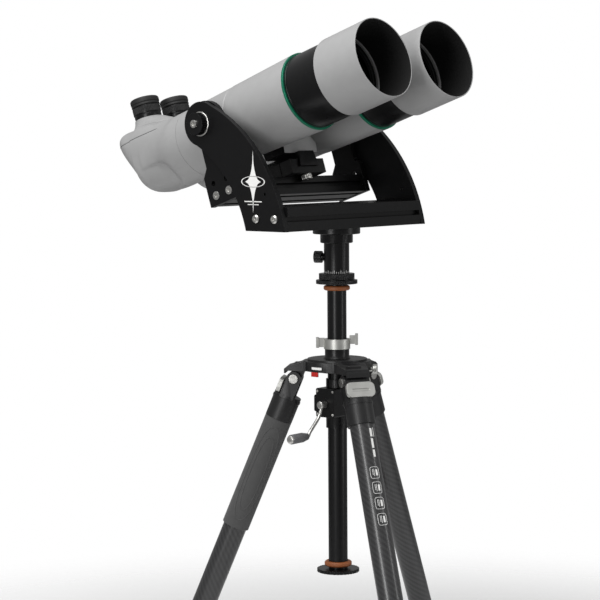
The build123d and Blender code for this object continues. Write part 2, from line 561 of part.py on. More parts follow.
def crown_arm():
    """One arm of the crown along +X: a stepped roof over the hinge, and the tongue that carries it."""
    hinge = Location((HINGE_R, 0, HINGE_Z), (90, 0, 0))
    root = HINGE_R - TONGUE_HALF - 5
    tongue = extrude(Plane.XZ * make_face(Polyline(
        (24, CROWN_STEP), (24, CROWN_BOTTOM), (root, CROWN_BOTTOM), (HINGE_R - 8, HINGE_Z - 9),
        (HINGE_R, HINGE_Z - TONGUE_HALF), (HINGE_R, CROWN_STEP), close=True)), TONGUE_HALF, both=True)
    tongue += hinge * Cylinder(TONGUE_HALF, 2 * TONGUE_HALF)
    roof_low = HINGE_Z + EAR_R + 1.5
    roof = extrude(Plane.XZ * make_face(Polyline(
        (10, CROWN_STEP + 5), (56, CROWN_STEP + 3), (62, CROWN_STEP), (82, CROWN_STEP - 5),
        (87, CROWN_STEP - 9), (87, roof_low - 4), (84.4, roof_low - 4), (84.4, roof_low),
        (10, roof_low), close=True)), ROOF_HALF, both=True)
    chamfer = make_face(Polyline((50, ROOF_HALF + 1), (90, ROOF_HALF + 1), (90, ROOF_HALF - 6),
                                 (80, ROOF_HALF - 6), close=True))
    corner = extrude(Location((0, 0, -450)) * chamfer, 100, dir=(0, 0, 1))
    roof -= corner
    roof -= mirror(corner, Plane.XZ)
    return tongue + roof - hinge * Cylinder(PIN_R, 60)


def crown():
    """Cast crown: a low disc with a stepped arm to each leg."""
    body = rod(CROWN_R, CROWN_STEP, CROWN_TOP) + rod(CROWN_R + 7, CROWN_BOTTOM + 2, CROWN_STEP + 4)
    body += rod(30, CROWN_BOTTOM - 2, CROWN_BOTTOM + 3)
    arm = crown_arm()
    for azimuth in LEG_AZIMUTHS.values():
        body += Location((0, 0, 0), (0, 0, azimuth)) * arm
    return body - rod(COLUMN_R + RUNNING, -500, -300) - rod(GUIDE_R, -500, HINGE_Z - 1)


def leg_pivot_bolts():
    """Three hinge pins with heads."""
    bolts = []
    for azimuth in LEG_AZIMUTHS.values():
        pin = Cylinder(PIN_R, 2 * EAR_HALF + 6)
        head = rod(7.6, EAR_HALF + CLEAR, EAR_HALF + 3.4)
        bolt = pin + head + Rotation(180, 0, 0) * head
        bolts.append(leg_frame(azimuth) * Location((0, 0, 0), (90, 0, 0)) * bolt)
    return Compound(children=bolts)


def leg_knuckle():
    """Forked socket at the top of a leg."""
    inner = TONGUE_HALF + CLEAR
    body = pipe(SOCKET_R, LEG_TUBE_R, -SOCKET_END, -34) + rod(SOCKET_R, -36, -31)
    for s in (-1, 1):
        low, high = sorted((s * inner, s * EAR_HALF))
        body += block((-EAR_R, EAR_R), (low, high), (-36, 0))
        body += Location((0, s * (inner + EAR_HALF) / 2, 0), (90, 0, 0)) * Cylinder(EAR_R, EAR_HALF - inner)
    body += pipe(SOCKET_R + 0.9, SOCKET_R - 1, -40, -36.5)
    return body - Location((0, 0, 0), (90, 0, 0)) * Cylinder(PIN_R + RUNNING, 60)


def leg_catch():
    """Sprung catch that sets how far the leg spreads."""
    plate = block((14, 21), (-25, 25), (-30.5, -5))
    plate = fillet(plate.edges().filter_by(Axis.X), 9)
    plate -= block((19.4, 22), (-15, 15), (-20.5, -16.5))
    return plate + block((3, 15), (-10, 10), (-30.5, -22))


def leg_upper_tube():
    """Carbon tube from the knuckle to the twist lock."""
    return pipe(LEG_TUBE_R, LEG_TUBE_R - LEG_TUBE_WALL, -LEG_TUBE_END, -36)


def leg_grip_sleeve():
    """Foam sleeve on the rear leg."""
    return pipe(SLEEVE_R, LEG_TUBE_R, -SLEEVE_END, -SOCKET_END - 0.2)


def leg_twist_lock():
    """Twist lock round the joint between the leg's tubes."""
    body = toothed(18, TWIST_R - 1.2, TWIST_R, 0.5, -TWIST_END + 8, -TWIST_START)
    body += lathe((0, -TWIST_END), (TWIST_R - 4, -TWIST_END), (TWIST_R - 1.2, -TWIST_END + 8.1),
                  (0, -TWIST_END + 8.1))
    body -= rod(LEG_TUBE_R + CLEAR, -LEG_TUBE_END - CLEAR, -TWIST_START + 1)
    return body - rod(LOWER_TUBE_R + CLEAR, -TWIST_END - 1, -TWIST_START)


def leg_lower_tube():
    """Sliding lower tube."""
    return pipe(LOWER_TUBE_R, LOWER_TUBE_R - LEG_TUBE_WALL, -LOWER_TUBE_END, -LOWER_TUBE_TOP)


def leg_foot(azimuth):
    """Rubber foot, cut flat where it stands."""
    foot = lathe((0, -LOWER_TUBE_END), (LOWER_TUBE_R, -LOWER_TUBE_END), (LOWER_TUBE_R, -606),
                 (FOOT_R - 2, -606), (FOOT_R, -610), (FOOT_R, -655), (0, -655))
    ground = block((-FLOOR_PLANE_SIZE, FLOOR_PLANE_SIZE), (-FLOOR_PLANE_SIZE, FLOOR_PLANE_SIZE),
                   (FLOOR_Z - 100, FLOOR_Z))
    return leg_frame(azimuth) * foot - ground


# Every node ---------------------------------------------------------------------------------
def all_nodes():
    """Name to solid for every piece, with the column's axis on Z."""
    nodes = {
        "crown": crown(), "column_collar": column_collar(), "column_lock_ring": column_lock_ring(),
        "gearbox": gearbox(), "crank_arm": crank_arm(), "crank_grip": crank_grip(),
        "pinion_shaft": pinion_shaft(), "centre_column": centre_column(), "column_rack": column_rack(),
        "column_foot": column_foot(), "column_bumpers": column_bumpers(),
        "leg_pivot_bolts": leg_pivot_bolts(), "azimuth_base": azimuth_base(),
        "azimuth_hub": azimuth_hub(), "azimuth_lock_knob": azimuth_lock_knob(),
        "fork_beam": fork_beam(), "fork_screws": fork_screws(), "cradle_beam": cradle_beam(),
        "cradle_screws": cradle_screws(), "saddle": saddle(), "saddle_knob": saddle_knob(),
        "bridge": bridge(),
    }
    knuckle, catch, upper = leg_knuckle(), leg_catch(), leg_upper_tube()
    twist, lower = leg_twist_lock(), leg_lower_tube()
    for name, azimuth in LEG_AZIMUTHS.items():
        place = leg_frame(azimuth)
        nodes[f"leg_knuckle_{name}"] = place * knuckle
        nodes[f"leg_catch_{name}"] = place * catch
        nodes[f"leg_upper_tube_{name}"] = place * upper
        nodes[f"leg_twist_lock_{name}"] = place * twist
        nodes[f"leg_lower_tube_{name}"] = place * lower
        nodes[f"leg_foot_{name}"] = leg_foot(azimuth)
    nodes["leg_grip_sleeve"] = leg_frame(LEG_AZIMUTHS["rear"]) * leg_grip_sleeve()
    for side in SIDES:
        nodes[f"fork_arm_{side}"] = fork_arm(side)
        nodes[f"tilt_knob_{side}"] = tilt_knob(side)
        nodes[f"cradle_arm_{side}"] = cradle_arm(side)
        nodes[f"objective_tube_{side}"] = on_tube(side) * tube_shell()
        nodes[f"dew_shield_{side}"] = on_tube(side) * hood()
        nodes[f"prism_housing_{side}"] = prism_housing(side)
        nodes[f"eyepiece_{side}"] = at_eye(side) * eyepiece()
        nodes[f"eyecup_{side}"] = at_eye(side) * eyecup()
    ring = pipe(ACCENT_R, COLLAR_BORE + 1, ACCENT_BACK, COLLAR_BACK)
    for name, body in (("objective_collars", collar()), ("objective_lenses", lens()),
                       ("accent_rings", ring)):
        nodes[name] = Compound(children=[on_tube(side) * body for side in SIDES])
    return nodes


def base_shift(nodes):
    """The move that puts the origin under the middle of the whole, on the floor."""
    boxes = [body.bounding_box() for body in nodes.values()]
    middle = [(min(tuple(b.min)[i] for b in boxes) + max(tuple(b.max)[i] for b in boxes)) / 2
              for i in (0, 1)]
    return Vector(-middle[0], -middle[1], -FLOOR_Z)


def export_all():
    """Write one STEP file for each node."""
    os.makedirs("parts", exist_ok=True)
    nodes = all_nodes()
    shift = base_shift(nodes)
    for name, body in nodes.items():
        export_step(Location(shift) * body, f"parts/{name}.step")
    print(len(nodes), "nodes, moved by", shift)


if __name__ == "__main__":
    export_all()
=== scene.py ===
import json
import math

import bmesh
import bpy
import numpy as np
from mathutils import Matrix, Vector

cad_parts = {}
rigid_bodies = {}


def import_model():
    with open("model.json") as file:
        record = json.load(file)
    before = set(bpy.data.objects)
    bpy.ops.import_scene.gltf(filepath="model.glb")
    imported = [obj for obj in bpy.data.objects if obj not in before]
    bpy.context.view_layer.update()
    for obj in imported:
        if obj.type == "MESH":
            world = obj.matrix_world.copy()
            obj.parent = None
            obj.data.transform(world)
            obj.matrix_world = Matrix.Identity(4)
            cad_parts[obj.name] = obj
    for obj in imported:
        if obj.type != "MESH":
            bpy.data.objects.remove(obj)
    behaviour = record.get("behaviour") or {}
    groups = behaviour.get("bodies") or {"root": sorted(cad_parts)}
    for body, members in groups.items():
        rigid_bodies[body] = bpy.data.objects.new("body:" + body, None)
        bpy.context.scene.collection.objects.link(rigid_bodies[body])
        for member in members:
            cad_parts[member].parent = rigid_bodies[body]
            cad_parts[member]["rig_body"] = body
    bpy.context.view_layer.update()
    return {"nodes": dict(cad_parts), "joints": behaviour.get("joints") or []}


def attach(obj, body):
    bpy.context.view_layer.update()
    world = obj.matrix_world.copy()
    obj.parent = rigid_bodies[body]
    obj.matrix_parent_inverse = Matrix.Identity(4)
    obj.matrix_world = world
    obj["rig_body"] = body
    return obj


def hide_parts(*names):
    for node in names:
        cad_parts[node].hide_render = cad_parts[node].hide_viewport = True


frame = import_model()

MM = 0.001
JOINTS = {joint["name"]: joint for joint in frame["joints"]}
SIDES = {"left": 1, "right": -1}
LEGS = ("side", "rear", "front")


# --- Frames, all in metres, taken from the joints ---------------------------------------------
def basis(origin, x, z):
    """Right-handed frame at origin with this Z and, as nearly as that allows, this X."""
    z = np.array(z, float) / np.linalg.norm(z)
    y = np.cross(z, x)
    y /= np.linalg.norm(y)
    place = np.eye(4)
    place[:3, 0], place[:3, 1], place[:3, 2], place[:3, 3] = np.cross(y, z), y, z, origin
    return place


def moved(place, x=0.0, y=0.0, z=0.0):
    """The frame shifted along its own axes, in millimetres."""
    shift = np.eye(4)
    shift[:3, 3] = np.array([x, y, z]) * MM
    return place @ shift


COLUMN = np.array(JOINTS["azimuth_pan"]["pos_m"])
PIVOT = np.array(JOINTS["cradle_tilt"]["pos_m"])
COLUMN_AXIS = basis([COLUMN[0], COLUMN[1], PIVOT[2]], (1, 0, 0), (0, 0, 1))
FORWARD = np.array(JOINTS["eye_spacing_left"]["axis"])
UPWARD = np.cross(FORWARD, (1, 0, 0))
TUBE_X = {side: JOINTS[f"eye_spacing_{side}"]["pos_m"][0] for side in SIDES}
TUBE = {side: basis([TUBE_X[side], PIVOT[1], PIVOT[2]], (1, 0, 0), FORWARD) for side in SIDES}
GEAR = basis(JOINTS["crank_turn"]["pos_m"], (0, 0, -1), JOINTS["crank_turn"]["axis"])
# Millimetres from here on. Eyepiece axis: out from the middle plane, and forward of the tilt pivot.
EYE_X, EYE_U = 36.5, -249.5
# From the middle plane to the fork arm's outer face and to the tilt knob's joint.
FORK_FACE, KNOB_SEAT = 178.0, 185.0
# Printed marks stand this proud and start this far inside the surface.
PRINT_THICK, SUNK = 0.12, 0.3
ACROSS_VIEW, TO_VIEWER = (0.655, -0.756, 0.0), (-0.756, -0.655, 0.0)


def eye_frame(side):
    """Eyepiece axis: Z up along it, X across."""
    origin = np.array([PIVOT[0] + SIDES[side] * EYE_X * MM, PIVOT[1], PIVOT[2]])
    return basis(origin + FORWARD * EYE_U * MM, (1, 0, 0), UPWARD)


def leg_frame(name):
    """Hinge of a leg: Z down the leg, X outwards from the tripod's middle."""
    fold, reach = JOINTS[f"leg_{name}_fold"], JOINTS[f"leg_{name}_extend"]
    return basis(fold["pos_m"], np.cross(fold["axis"], -np.array(reach["axis"])), reach["axis"])


# --- Mesh building ----------------------------------------------------------------------------
def soften(profile, radius, closed):
    """Corners cut back by radius and rounded with a quadratic Bezier through three points."""
    p = np.array(profile, float)
    before, after = np.roll(p, 1, 0) - p, np.roll(p, -1, 0) - p
    t = np.linspace(0, 1, 4)[:, None, None]
    reach = [np.minimum(radius, 0.45 * np.linalg.norm(d, axis=1))[:, None] for d in (before, after)]
    ends = [p + d / np.maximum(np.linalg.norm(d, axis=1), 1e-9)[:, None] * r
            for d, r in zip((before, after), reach)]
    curve = (1 - t) ** 2 * ends[0] + 2 * t * (1 - t) * p + t ** 2 * ends[1]
    curve = curve.transpose(1, 0, 2)
    if closed:
        return curve.reshape(-1, 2)
    return np.vstack([p[:1], curve[1:-1].reshape(-1, 2), p[-1:]])


def piece_from(name, mesh, material, body, stands_for=(), slot=None, sharp=35):
    """Object with one material that rides on a body and may stand for CAD nodes."""
    mesh.materials.append(material)
    mesh.shade_smooth()
    mesh.set_sharp_from_angle(angle=math.radians(sharp))
    piece = bpy.data.objects.new(name, mesh)
    bpy.context.scene.collection.objects.link(piece)
    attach(piece, body)
    if stands_for:
        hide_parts(*stands_for)
    return piece


def skin(name, grid, place, material, body, wrap=(False, True), **rest):
    """Quads over a grid of points in millimetres, closed along the wrapped directions."""
    rows, columns = grid.shape[:2]
    world = (grid.reshape(-1, 3) * MM) @ place[:3, :3].T + place[:3, 3]
    i, j = np.meshgrid(np.arange(rows if wrap[0] else rows - 1),
                       np.arange(columns if wrap[1] else columns - 1), indexing="ij")
    corners = [(i, j), (i, j + 1), (i + 1, j + 1), (i + 1, j)]
    faces = np.stack([(a % rows) * columns + b % columns for a, b in corners], -1).reshape(-1, 4)
    mesh = bpy.data.meshes.new(name)
    mesh.from_pydata(world.tolist(), [], faces.tolist())
    tidy = bmesh.new()
    tidy.from_mesh(mesh)
    bmesh.ops.remove_doubles(tidy, verts=tidy.verts, dist=1e-6)
    bmesh.ops.recalc_face_normals(tidy, faces=tidy.faces)
    tidy.to_mesh(mesh)
    tidy.free()
    return piece_from(name, mesh, material, body, **rest)


def turned(name, profile, place, material, body, closed=True, soft=0.5, steps=96, **rest):
    """Body turned about Z: each (radius, height) point of the rounded profile sweeps a circle."""
    rz = soften(profile, soft, closed)
    angle = np.linspace(0, 2 * math.pi, steps, endpoint=False)
    grid = np.stack([rz[:, :1] * np.cos(angle), rz[:, :1] * np.sin(angle),
                     np.repeat(rz[:, 1:], steps, 1)], -1)
    return skin(name, grid, place, material, body, wrap=(closed, True), **rest)


def smooth_path(points, rounds):
    """Corner cutting: each run gives the points a quarter and three quarters along it, ends kept."""
    p = np.array(points, float)
    for _ in range(rounds):
        cuts = np.stack([0.75 * p[:-1] + 0.25 * p[1:], 0.25 * p[:-1] + 0.75 * p[1:]], 1).reshape(-1, 3)
        p = np.vstack([p[:1], cuts, p[-1:]])
    return p


def swept(name, path, radius, place, material, body, loop=False, steps=16, rounds=4, **rest):
    """Round bar: a circle square to the tangent at each point of the path, closed or domed at its ends."""
    p = np.array(path, float) if loop else smooth_path(path, rounds)
    tangent = np.roll(p, -1, 0) - np.roll(p, 1, 0) if loop else np.gradient(p, axis=0)
    tangent /= np.linalg.norm(tangent, axis=1)[:, None]
    least = np.eye(3)[np.argmin(np.ptp(p, axis=0))] + 0.01
    side = np.cross(tangent, least)
    side /= np.linalg.norm(side, axis=1)[:, None]
    other = np.cross(tangent, side)
    size = np.full(len(p), float(radius))
    if not loop:
        bend = np.linspace(0, math.pi / 2, 5)
        back, ahead = -radius * np.cos(bend), radius * np.cos(bend[::-1])
        p = np.vstack([p[0] + tangent[0] * back[:, None], p[1:-1], p[-1] + tangent[-1] * ahead[:, None]])
        side, other = [np.vstack([np.repeat(a[:1], 5, 0), a[1:-1], np.repeat(a[-1:], 5, 0)])
                       for a in (side, other)]
        size = radius * np.concatenate([np.sin(bend), np.ones(len(p) - 10), np.sin(bend[::-1])])
    angle = np.linspace(0, 2 * math.pi, steps, endpoint=False)[None, :, None]
    grid = p[:, None] + size[:, None, None] * (side[:, None] * np.cos(angle) + other[:, None] * np.sin(angle))
    return skin(name, grid, place, material, body, wrap=(loop, True), **rest)


def boxes(name, corners, place, material, body, **rest):
    """Small closed boxes, each given as eight corners: four of the under side, then four of the top."""
    c = np.array(corners, float).reshape(-1, 8, 3)
    sides = np.array([(3, 2, 1, 0), (4, 5, 6, 7), (0, 1, 5, 4), (1, 2, 6, 5), (2, 3, 7, 6), (3, 0, 4, 7)])
    faces = (np.arange(len(c))[:, None, None] * 8 + sides[None]).reshape(-1, 4)
    world = (c.reshape(-1, 3) * MM) @ place[:3, :3].T + place[:3, 3]
    mesh = bpy.data.meshes.new(name)
    mesh.from_pydata(world.tolist(), [], faces.tolist())
    tidy = bmesh.new()
    tidy.from_mesh(mesh)
    bmesh.ops.recalc_face_normals(tidy, faces=tidy.faces)
    tidy.to_mesh(mesh)
    tidy.free()
    return piece_from(name, mesh, material, body, **rest)


def wrapped_box(radius, thick, turn, z):
    """Corners of a small plate on a cylinder: turn and z are (low, high), in degrees and millimetres."""
    ring = [(turn[0], z[0]), (turn[1], z[0]), (turn[1], z[1]), (turn[0], z[1])]
    return [(r * math.cos(math.radians(a)), r * math.sin(math.radians(a)), h)
            for r in (radius - SUNK, radius + thick) for a, h in ring]


def flat_box(x, y, thick):
    """Corners of a small plate lying on the plane Z = 0."""
    ring = [(x[0], y[0]), (x[1], y[0]), (x[1], y[1]), (x[0], y[1])]
    return [(a, b, h) for h in (-SUNK, thick) for a, b in ring]


def refined(node, material, width=0.5, segments=2, slot=None):
    """Copy of a CAD node with its flat faces made whole and its edges rounded."""
    source = frame["nodes"][node]
    mesh = source.data.copy()
    mesh.materials.clear()
    work = bmesh.new()
    work.from_mesh(mesh)
    bmesh.ops.remove_doubles(work, verts=work.verts, dist=1e-6)
    bmesh.ops.dissolve_limit(work, angle_limit=math.radians(0.3), verts=work.verts, edges=work.edges)
    work.to_mesh(mesh)
    work.free()
    piece = piece_from(node + "_finished", mesh, material, source["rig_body"], (node,), slot, 30)
    bevel = piece.modifiers.new("Edges", "BEVEL")
    bevel.width, bevel.segments = width * MM, segments
    bevel.limit_method, bevel.angle_limit = "ANGLE", math.radians(32)
    bevel.harden_normals = True
    return piece


def paint(piece, material, place, radius, height):
    """Gives faces whose middle lies in the (low, high) radius and height of a frame a second material."""
    mesh = piece.data
    mesh.materials.append(material)
    centre = np.zeros(len(mesh.polygons) * 3)
    mesh.polygons.foreach_get("center", centre)
    local = (centre.reshape(-1, 3) - place[:3, 3]) @ place[:3, :3] / MM
    r = np.hypot(local[:, 0], local[:, 1])
    chosen = (r >= radius[0]) & (r <= radius[1]) & (local[:, 2] >= height[0]) & (local[:, 2] <= height[1])
    index = np.zeros(len(mesh.polygons), np.int32)
    mesh.polygons.foreach_get("material_index", index)
    index[chosen] = len(mesh.materials) - 1
    mesh.polygons.foreach_set("material_index", index)


# --- Materials --------------------------------------------------------------------------------
def srgb(code):
    """Linear colour from an sRGB hex code."""
    channels = [int(code[i:i + 2], 16) / 255 for i in (1, 3, 5)]
    return tuple(c / 12.92 if c <= 0.04045 else ((c + 0.055) / 1.055) ** 2.4 for c in channels) + (1.0,)


def node(material, kind, settings=None, **inputs):
    """Add a node: settings are its properties, inputs are values or sockets by input name."""
    made = material.node_tree.nodes.new("ShaderNode" + kind)
    for key, value in (settings or {}).items():
        setattr(made, key, value)
    for key, value in inputs.items():
        socket = made.inputs[int(key[1:])] if key[0] == "_" else made.inputs[key.replace("_", " ")]
        if isinstance(value, bpy.types.NodeSocket):
            material.node_tree.links.new(value, socket)
        else:
            socket.default_value = value
    return made


def new_material(name, colour, roughness, metallic=0.0, **sockets):
    """Principled material; returns it with its shader node."""
    material = bpy.data.materials.new(name)
    material.use_nodes = True
    shader = material.node_tree.nodes["Principled BSDF"]
    shader.inputs["Base Color"].default_value = srgb(colour)
    shader.inputs["Roughness"].default_value = roughness
    shader.inputs["Metallic"].default_value = metallic
    for key, value in sockets.items():
        shader.inputs[key.replace("_", " ")].default_value = value
    return material, shader


def finish_with(material, shader, vector, grain, depth, low, high, dark=None, light=None):
    """Fine bump of one grain size, with roughness and, if asked, colour varying on a wider scale."""
    fine = node(material, "TexNoise", Vector=vector, Scale=1 / (grain * MM), Detail=3.0)
    broad = node(material, "TexNoise", Vector=vector, Scale=1 / (grain * 14 * MM), Detail=4.0)
    bump = node(material, "Bump", Height=fine.outputs["Fac"], Distance=depth * MM, Strength=1.0)
    spread = node(material, "MapRange", Value=broad.outputs["Fac"], To_Min=low, To_Max=high)
    material.node_tree.links.new(bump.outputs["Normal"], shader.inputs["Normal"])
    material.node_tree.links.new(spread.outputs["Result"], shader.inputs["Roughness"])
    if dark:
        tint = node(material, "MixRGB", Fac=broad.outputs["Fac"], Color1=srgb(dark), Color2=srgb(light))
        material.node_tree.links.new(tint.outputs["Color"], shader.inputs["Base Color"])


def grained(name, colour, roughness, grain, depth, dark=None, light=None, metallic=0.0, spread=0.06,
            **sockets):
    """Material whose surface has one fine grain, its size and depth in millimetres, in object space."""
    material, shader = new_material(name, colour, roughness, metallic, **sockets)
    vector = node(material, "TexCoord").outputs["Object"]
    finish_with(material, shader, vector, grain, depth, roughness - spread, roughness + spread, dark, light)
    return material


# Powder-sprayed enamel on cast aluminium: satin, with a fine even tooth.
ENAMEL = grained("satin_grey_enamel", "#989898", 0.44, 1.1, 0.03, "#959595", "#9c9c9c")
# Black anodised aluminium, turned or milled: dark, with a soft metallic sheen and faint tool marks.
ANODISED = grained("black_anodised_aluminium", "#0a0a0b", 0.3, 0.5, 0.008, "#080809", "#0d0d0e",
                   Specular_IOR_Level=0.3)
# Black anodised plate: brushed before anodising, so a little rougher than turned parts.
PLATE = grained("black_anodised_plate", "#0a0a0b", 0.42, 0.8, 0.01, "#080809", "#0d0d0e", 0.0, 0.05,
                Specular_IOR_Level=0.22)
# Cast aluminium under black wrinkle paint: low sheen and a visible grain.
CASTING = grained("black_crackle_casting", "#0e0e0f", 0.42, 1.4, 0.05, "#0b0b0c", "#131314", 0.0, 0.07)
# Flocked or ribbed matt lining inside the hoods: swallows nearly all light.
LINING = grained("matt_black_lining", "#050505", 0.92, 0.6, 0.05)
# Green anodised ring: a clear dyed oxide on bright metal.
GREEN = grained("green_anodised_ring", "#1d7a5c", 0.3, 0.6, 0.01, "#1a7256", "#238566", 0.55, 0.05)
# Satin stainless and bright aluminium fittings.
STEEL = grained("satin_stainless", "#c9c8c4", 0.3, 0.5, 0.012, "#bebdb9", "#d4d3d0", 1.0, 0.08)
CAST_ALLOY = grained("tumbled_aluminium", "#c2c2be", 0.42, 1.2, 0.03, "#b4b4b0", "#cfcfcb", 0.9, 0.08)
# Moulded rubber: matt, faintly dusty.
RUBBER = grained("black_rubber", "#121212", 0.62, 0.9, 0.03, "#0f0f0f", "#191919", 0.0, 0.08)
BUMPER = grained("orange_brown_rubber", "#8a4c22", 0.55, 0.9, 0.03, "#7b421d", "#97562a", 0.0, 0.08)
# Foam rubber sleeve and moulded grip: matt, with fine open pores that catch a little light at the edge.
FOAM = grained("dark_grey_foam", "#424242", 0.86, 1.3, 0.10, "#3c3c3c", "#494949", 0.0, 0.05,
               Sheen_Weight=0.15)
HANDLE = grained("grey_moulded_grip", "#5c5c5e", 0.6, 1.0, 0.03, "#545456", "#646466")
# Pad-printed white ink, and a red moulded tab.
INK = grained("white_print", "#e6e6e4", 0.5, 0.8, 0.004, "#dededc", "#eeeeec")
RED = grained("red_moulded_tab", "#b3170f", 0.4, 0.9, 0.01, "#a5140d", "#c01c12")
# Thin rubber gasket that shows in the housing's parting line.
GASKET = grained("dark_parting_line", "#3a3a3b", 0.7, 0.8, 0.01)


def glass(name, colour, coat):
    """Coated optical glass: dark because it looks into a blackened tube, with a tinted reflection."""
    material, shader = new_material(name, colour, 0.03, 0.0, IOR=1.52, Coat_Weight=1.0, Coat_Roughness=0.02)
    shader.inputs["Coat Tint"].default_value = srgb(coat)
    vector = node(material, "TexCoord").outputs["Object"]
    haze = node(material, "TexNoise", Vector=vector, Scale=1 / (30 * MM), Detail=2.0)
    spread = node(material, "MapRange", Value=haze.outputs["Fac"], To_Min=0.015, To_Max=0.06)
    material.node_tree.links.new(spread.outputs["Result"], shader.inputs["Roughness"])
    return material


OBJECTIVE_GLASS = glass("coated_objective_glass", "#050807", "#7fd8a8")
EYE_GLASS = glass("coated_eye_lens", "#070a0d", "#8fb6e8")


def carbon_fibre():
    """Clear-coated twill: tows cut the unrolled tube into squares, each row stepping on by one."""
    material, shader = new_material("carbon_twill_tube", "#202021", 0.4, 0.0, Coat_Weight=0.5,
                                    Coat_Roughness=0.14)
    tow = 2.6                      # width of a tow in millimetres
    scaled = node(material, "VectorMath", {"operation": "SCALE"}, Scale=1 / tow,
                  _0=node(material, "UVMap", {"uv_map": "Wrap"}).outputs["UV"])
    cell = node(material, "VectorMath", {"operation": "FLOOR"}, _0=scaled.outputs[0])
    inside = node(material, "VectorMath", {"operation": "FRACTION"}, _0=scaled.outputs[0])
    across = node(material, "SeparateXYZ", Vector=cell.outputs[0])
    step = node(material, "Math", {"operation": "ADD"}, _0=across.outputs["X"], _1=across.outputs["Y"])
    turn = node(material, "Math", {"operation": "FLOORED_MODULO"}, _0=step.outputs[0], _1=4.0)
    over = node(material, "Math", {"operation": "LESS_THAN"}, _0=turn.outputs[0], _1=1.5)
    place = node(material, "SeparateXYZ", Vector=inside.outputs[0])
    ridge = node(material, "Mix", {"data_type": "FLOAT"}, _0=over.outputs[0], _2=place.outputs["X"],
                 _3=place.outputs["Y"])
    arch = node(material, "Math", {"operation": "PINGPONG"}, _0=ridge.outputs[0], _1=0.5)
    bump = node(material, "Bump", Height=arch.outputs[0], Distance=0.07 * MM, Strength=0.5)
    tint = node(material, "MixRGB", Fac=over.outputs[0], Color1=srgb("#1c1c1d"), Color2=srgb("#2b2b2c"))
    material.node_tree.links.new(bump.outputs["Normal"], shader.inputs["Normal"])
    material.node_tree.links.new(tint.outputs["Color"], shader.inputs["Base Color"])
    return material


CARBON = carbon_fibre()


# --- Binoculars -------------------------------------------------------------------------------
# Radii of the hood, collar and accent ring, and places along the tube forward of the tilt pivot.
HOOD_R, COLLAR_R, ACCENT_R = 66.0, 62.5, 65.8
HOOD_BACK, HOOD_LAND, HOOD_FRONT = 234.3, 256.3, 325.5
COLLAR_BACK, COLLAR_FRONT, ACCENT_BACK = 165.0, 252.0, 161.0
# Baffles: place along the tube, radius of the hole, outer radius.
BAFFLES = ((216, 48.5, 53.8), (190, 46, 53.8), (160, 43, 53.8))


def main_tube(side):
    """Main tube: (radius, distance forward) outline, with the step by the bridge and a rolled front rim."""
    outer = [(54.2, -99), (58.9, -99), (59, -98.9), (59.6, -60), (61.4, 19), (60.5, 20.4), (60.5, 21.6),
             (62, 23), (65.9, ACCENT_BACK), (58.2, ACCENT_BACK), (58.2, 130), (57, 20), (54.2, -70)]
    turned(f"main_tube_{side}", outer, TUBE[side], ENAMEL, "binoculars", soft=0.9, steps=160,
           stands_for=(f"objective_tube_{side}",), slot="grey_paint")


def front_collar(side):
    """Collar with its lens retainer, the accent ring behind it and stepped baffles inside."""
    place = TUBE[side]
    stands = ("objective_collars",) if side == "left" else ()
    profile = [(54, 132), (58, 132), (58, COLLAR_BACK), (COLLAR_R, COLLAR_BACK), (COLLAR_R, 167.5),
               (COLLAR_R - 0.5, 168.2), (COLLAR_R - 0.5, 169.4), (COLLAR_R, 170.1), (COLLAR_R, 251),
               (61.2, COLLAR_FRONT), (56, COLLAR_FRONT), (55.2, 250.6), (51, 250.6), (50.2, 249.2),
               (54, 249), (54, 238), (50, 237.8), (50, 234), (54, 228)]
    turned(f"front_collar_{side}", profile, place, ANODISED, "binoculars", soft=0.35, steps=144,
           stands_for=stands, slot="black_anodised")
    ring = [(60, ACCENT_BACK), (ACCENT_R, ACCENT_BACK), (ACCENT_R, COLLAR_BACK), (60, COLLAR_BACK)]
    turned(f"accent_ring_{side}", ring, place, GREEN, "binoculars", soft=0.6, steps=144,
           stands_for=("accent_rings",) if side == "left" else (), slot="green_accent")
    for number, (reach, hole, edge) in enumerate(BAFFLES):
        plate = [(hole, reach), (edge, reach), (edge, reach + 1.2), (hole + 0.6, reach + 1.2)]
        turned(f"baffle_{number}_{side}", plate, place, LINING, "binoculars", soft=0.2, steps=96)


def objective_lens(side):
    """Front lens: two shallow spherical caps over a straight rim."""
    rim, edge, bulge = 53.8, np.linspace(53.8, 0, 22), 3.4
    front = np.stack([edge, 246 + bulge * (1 - (edge / rim) ** 2)], 1)
    back = np.stack([edge[::-1], 238 - 0.3 * bulge * (1 - (edge[::-1] / rim) ** 2)], 1)
    turned(f"objective_lens_{side}", np.vstack([back, front]), TUBE[side], OBJECTIVE_GLASS, "binoculars",
           closed=False, soft=0.05, steps=128,
           stands_for=("objective_lenses",) if side == "left" else (), slot="lens_glass")


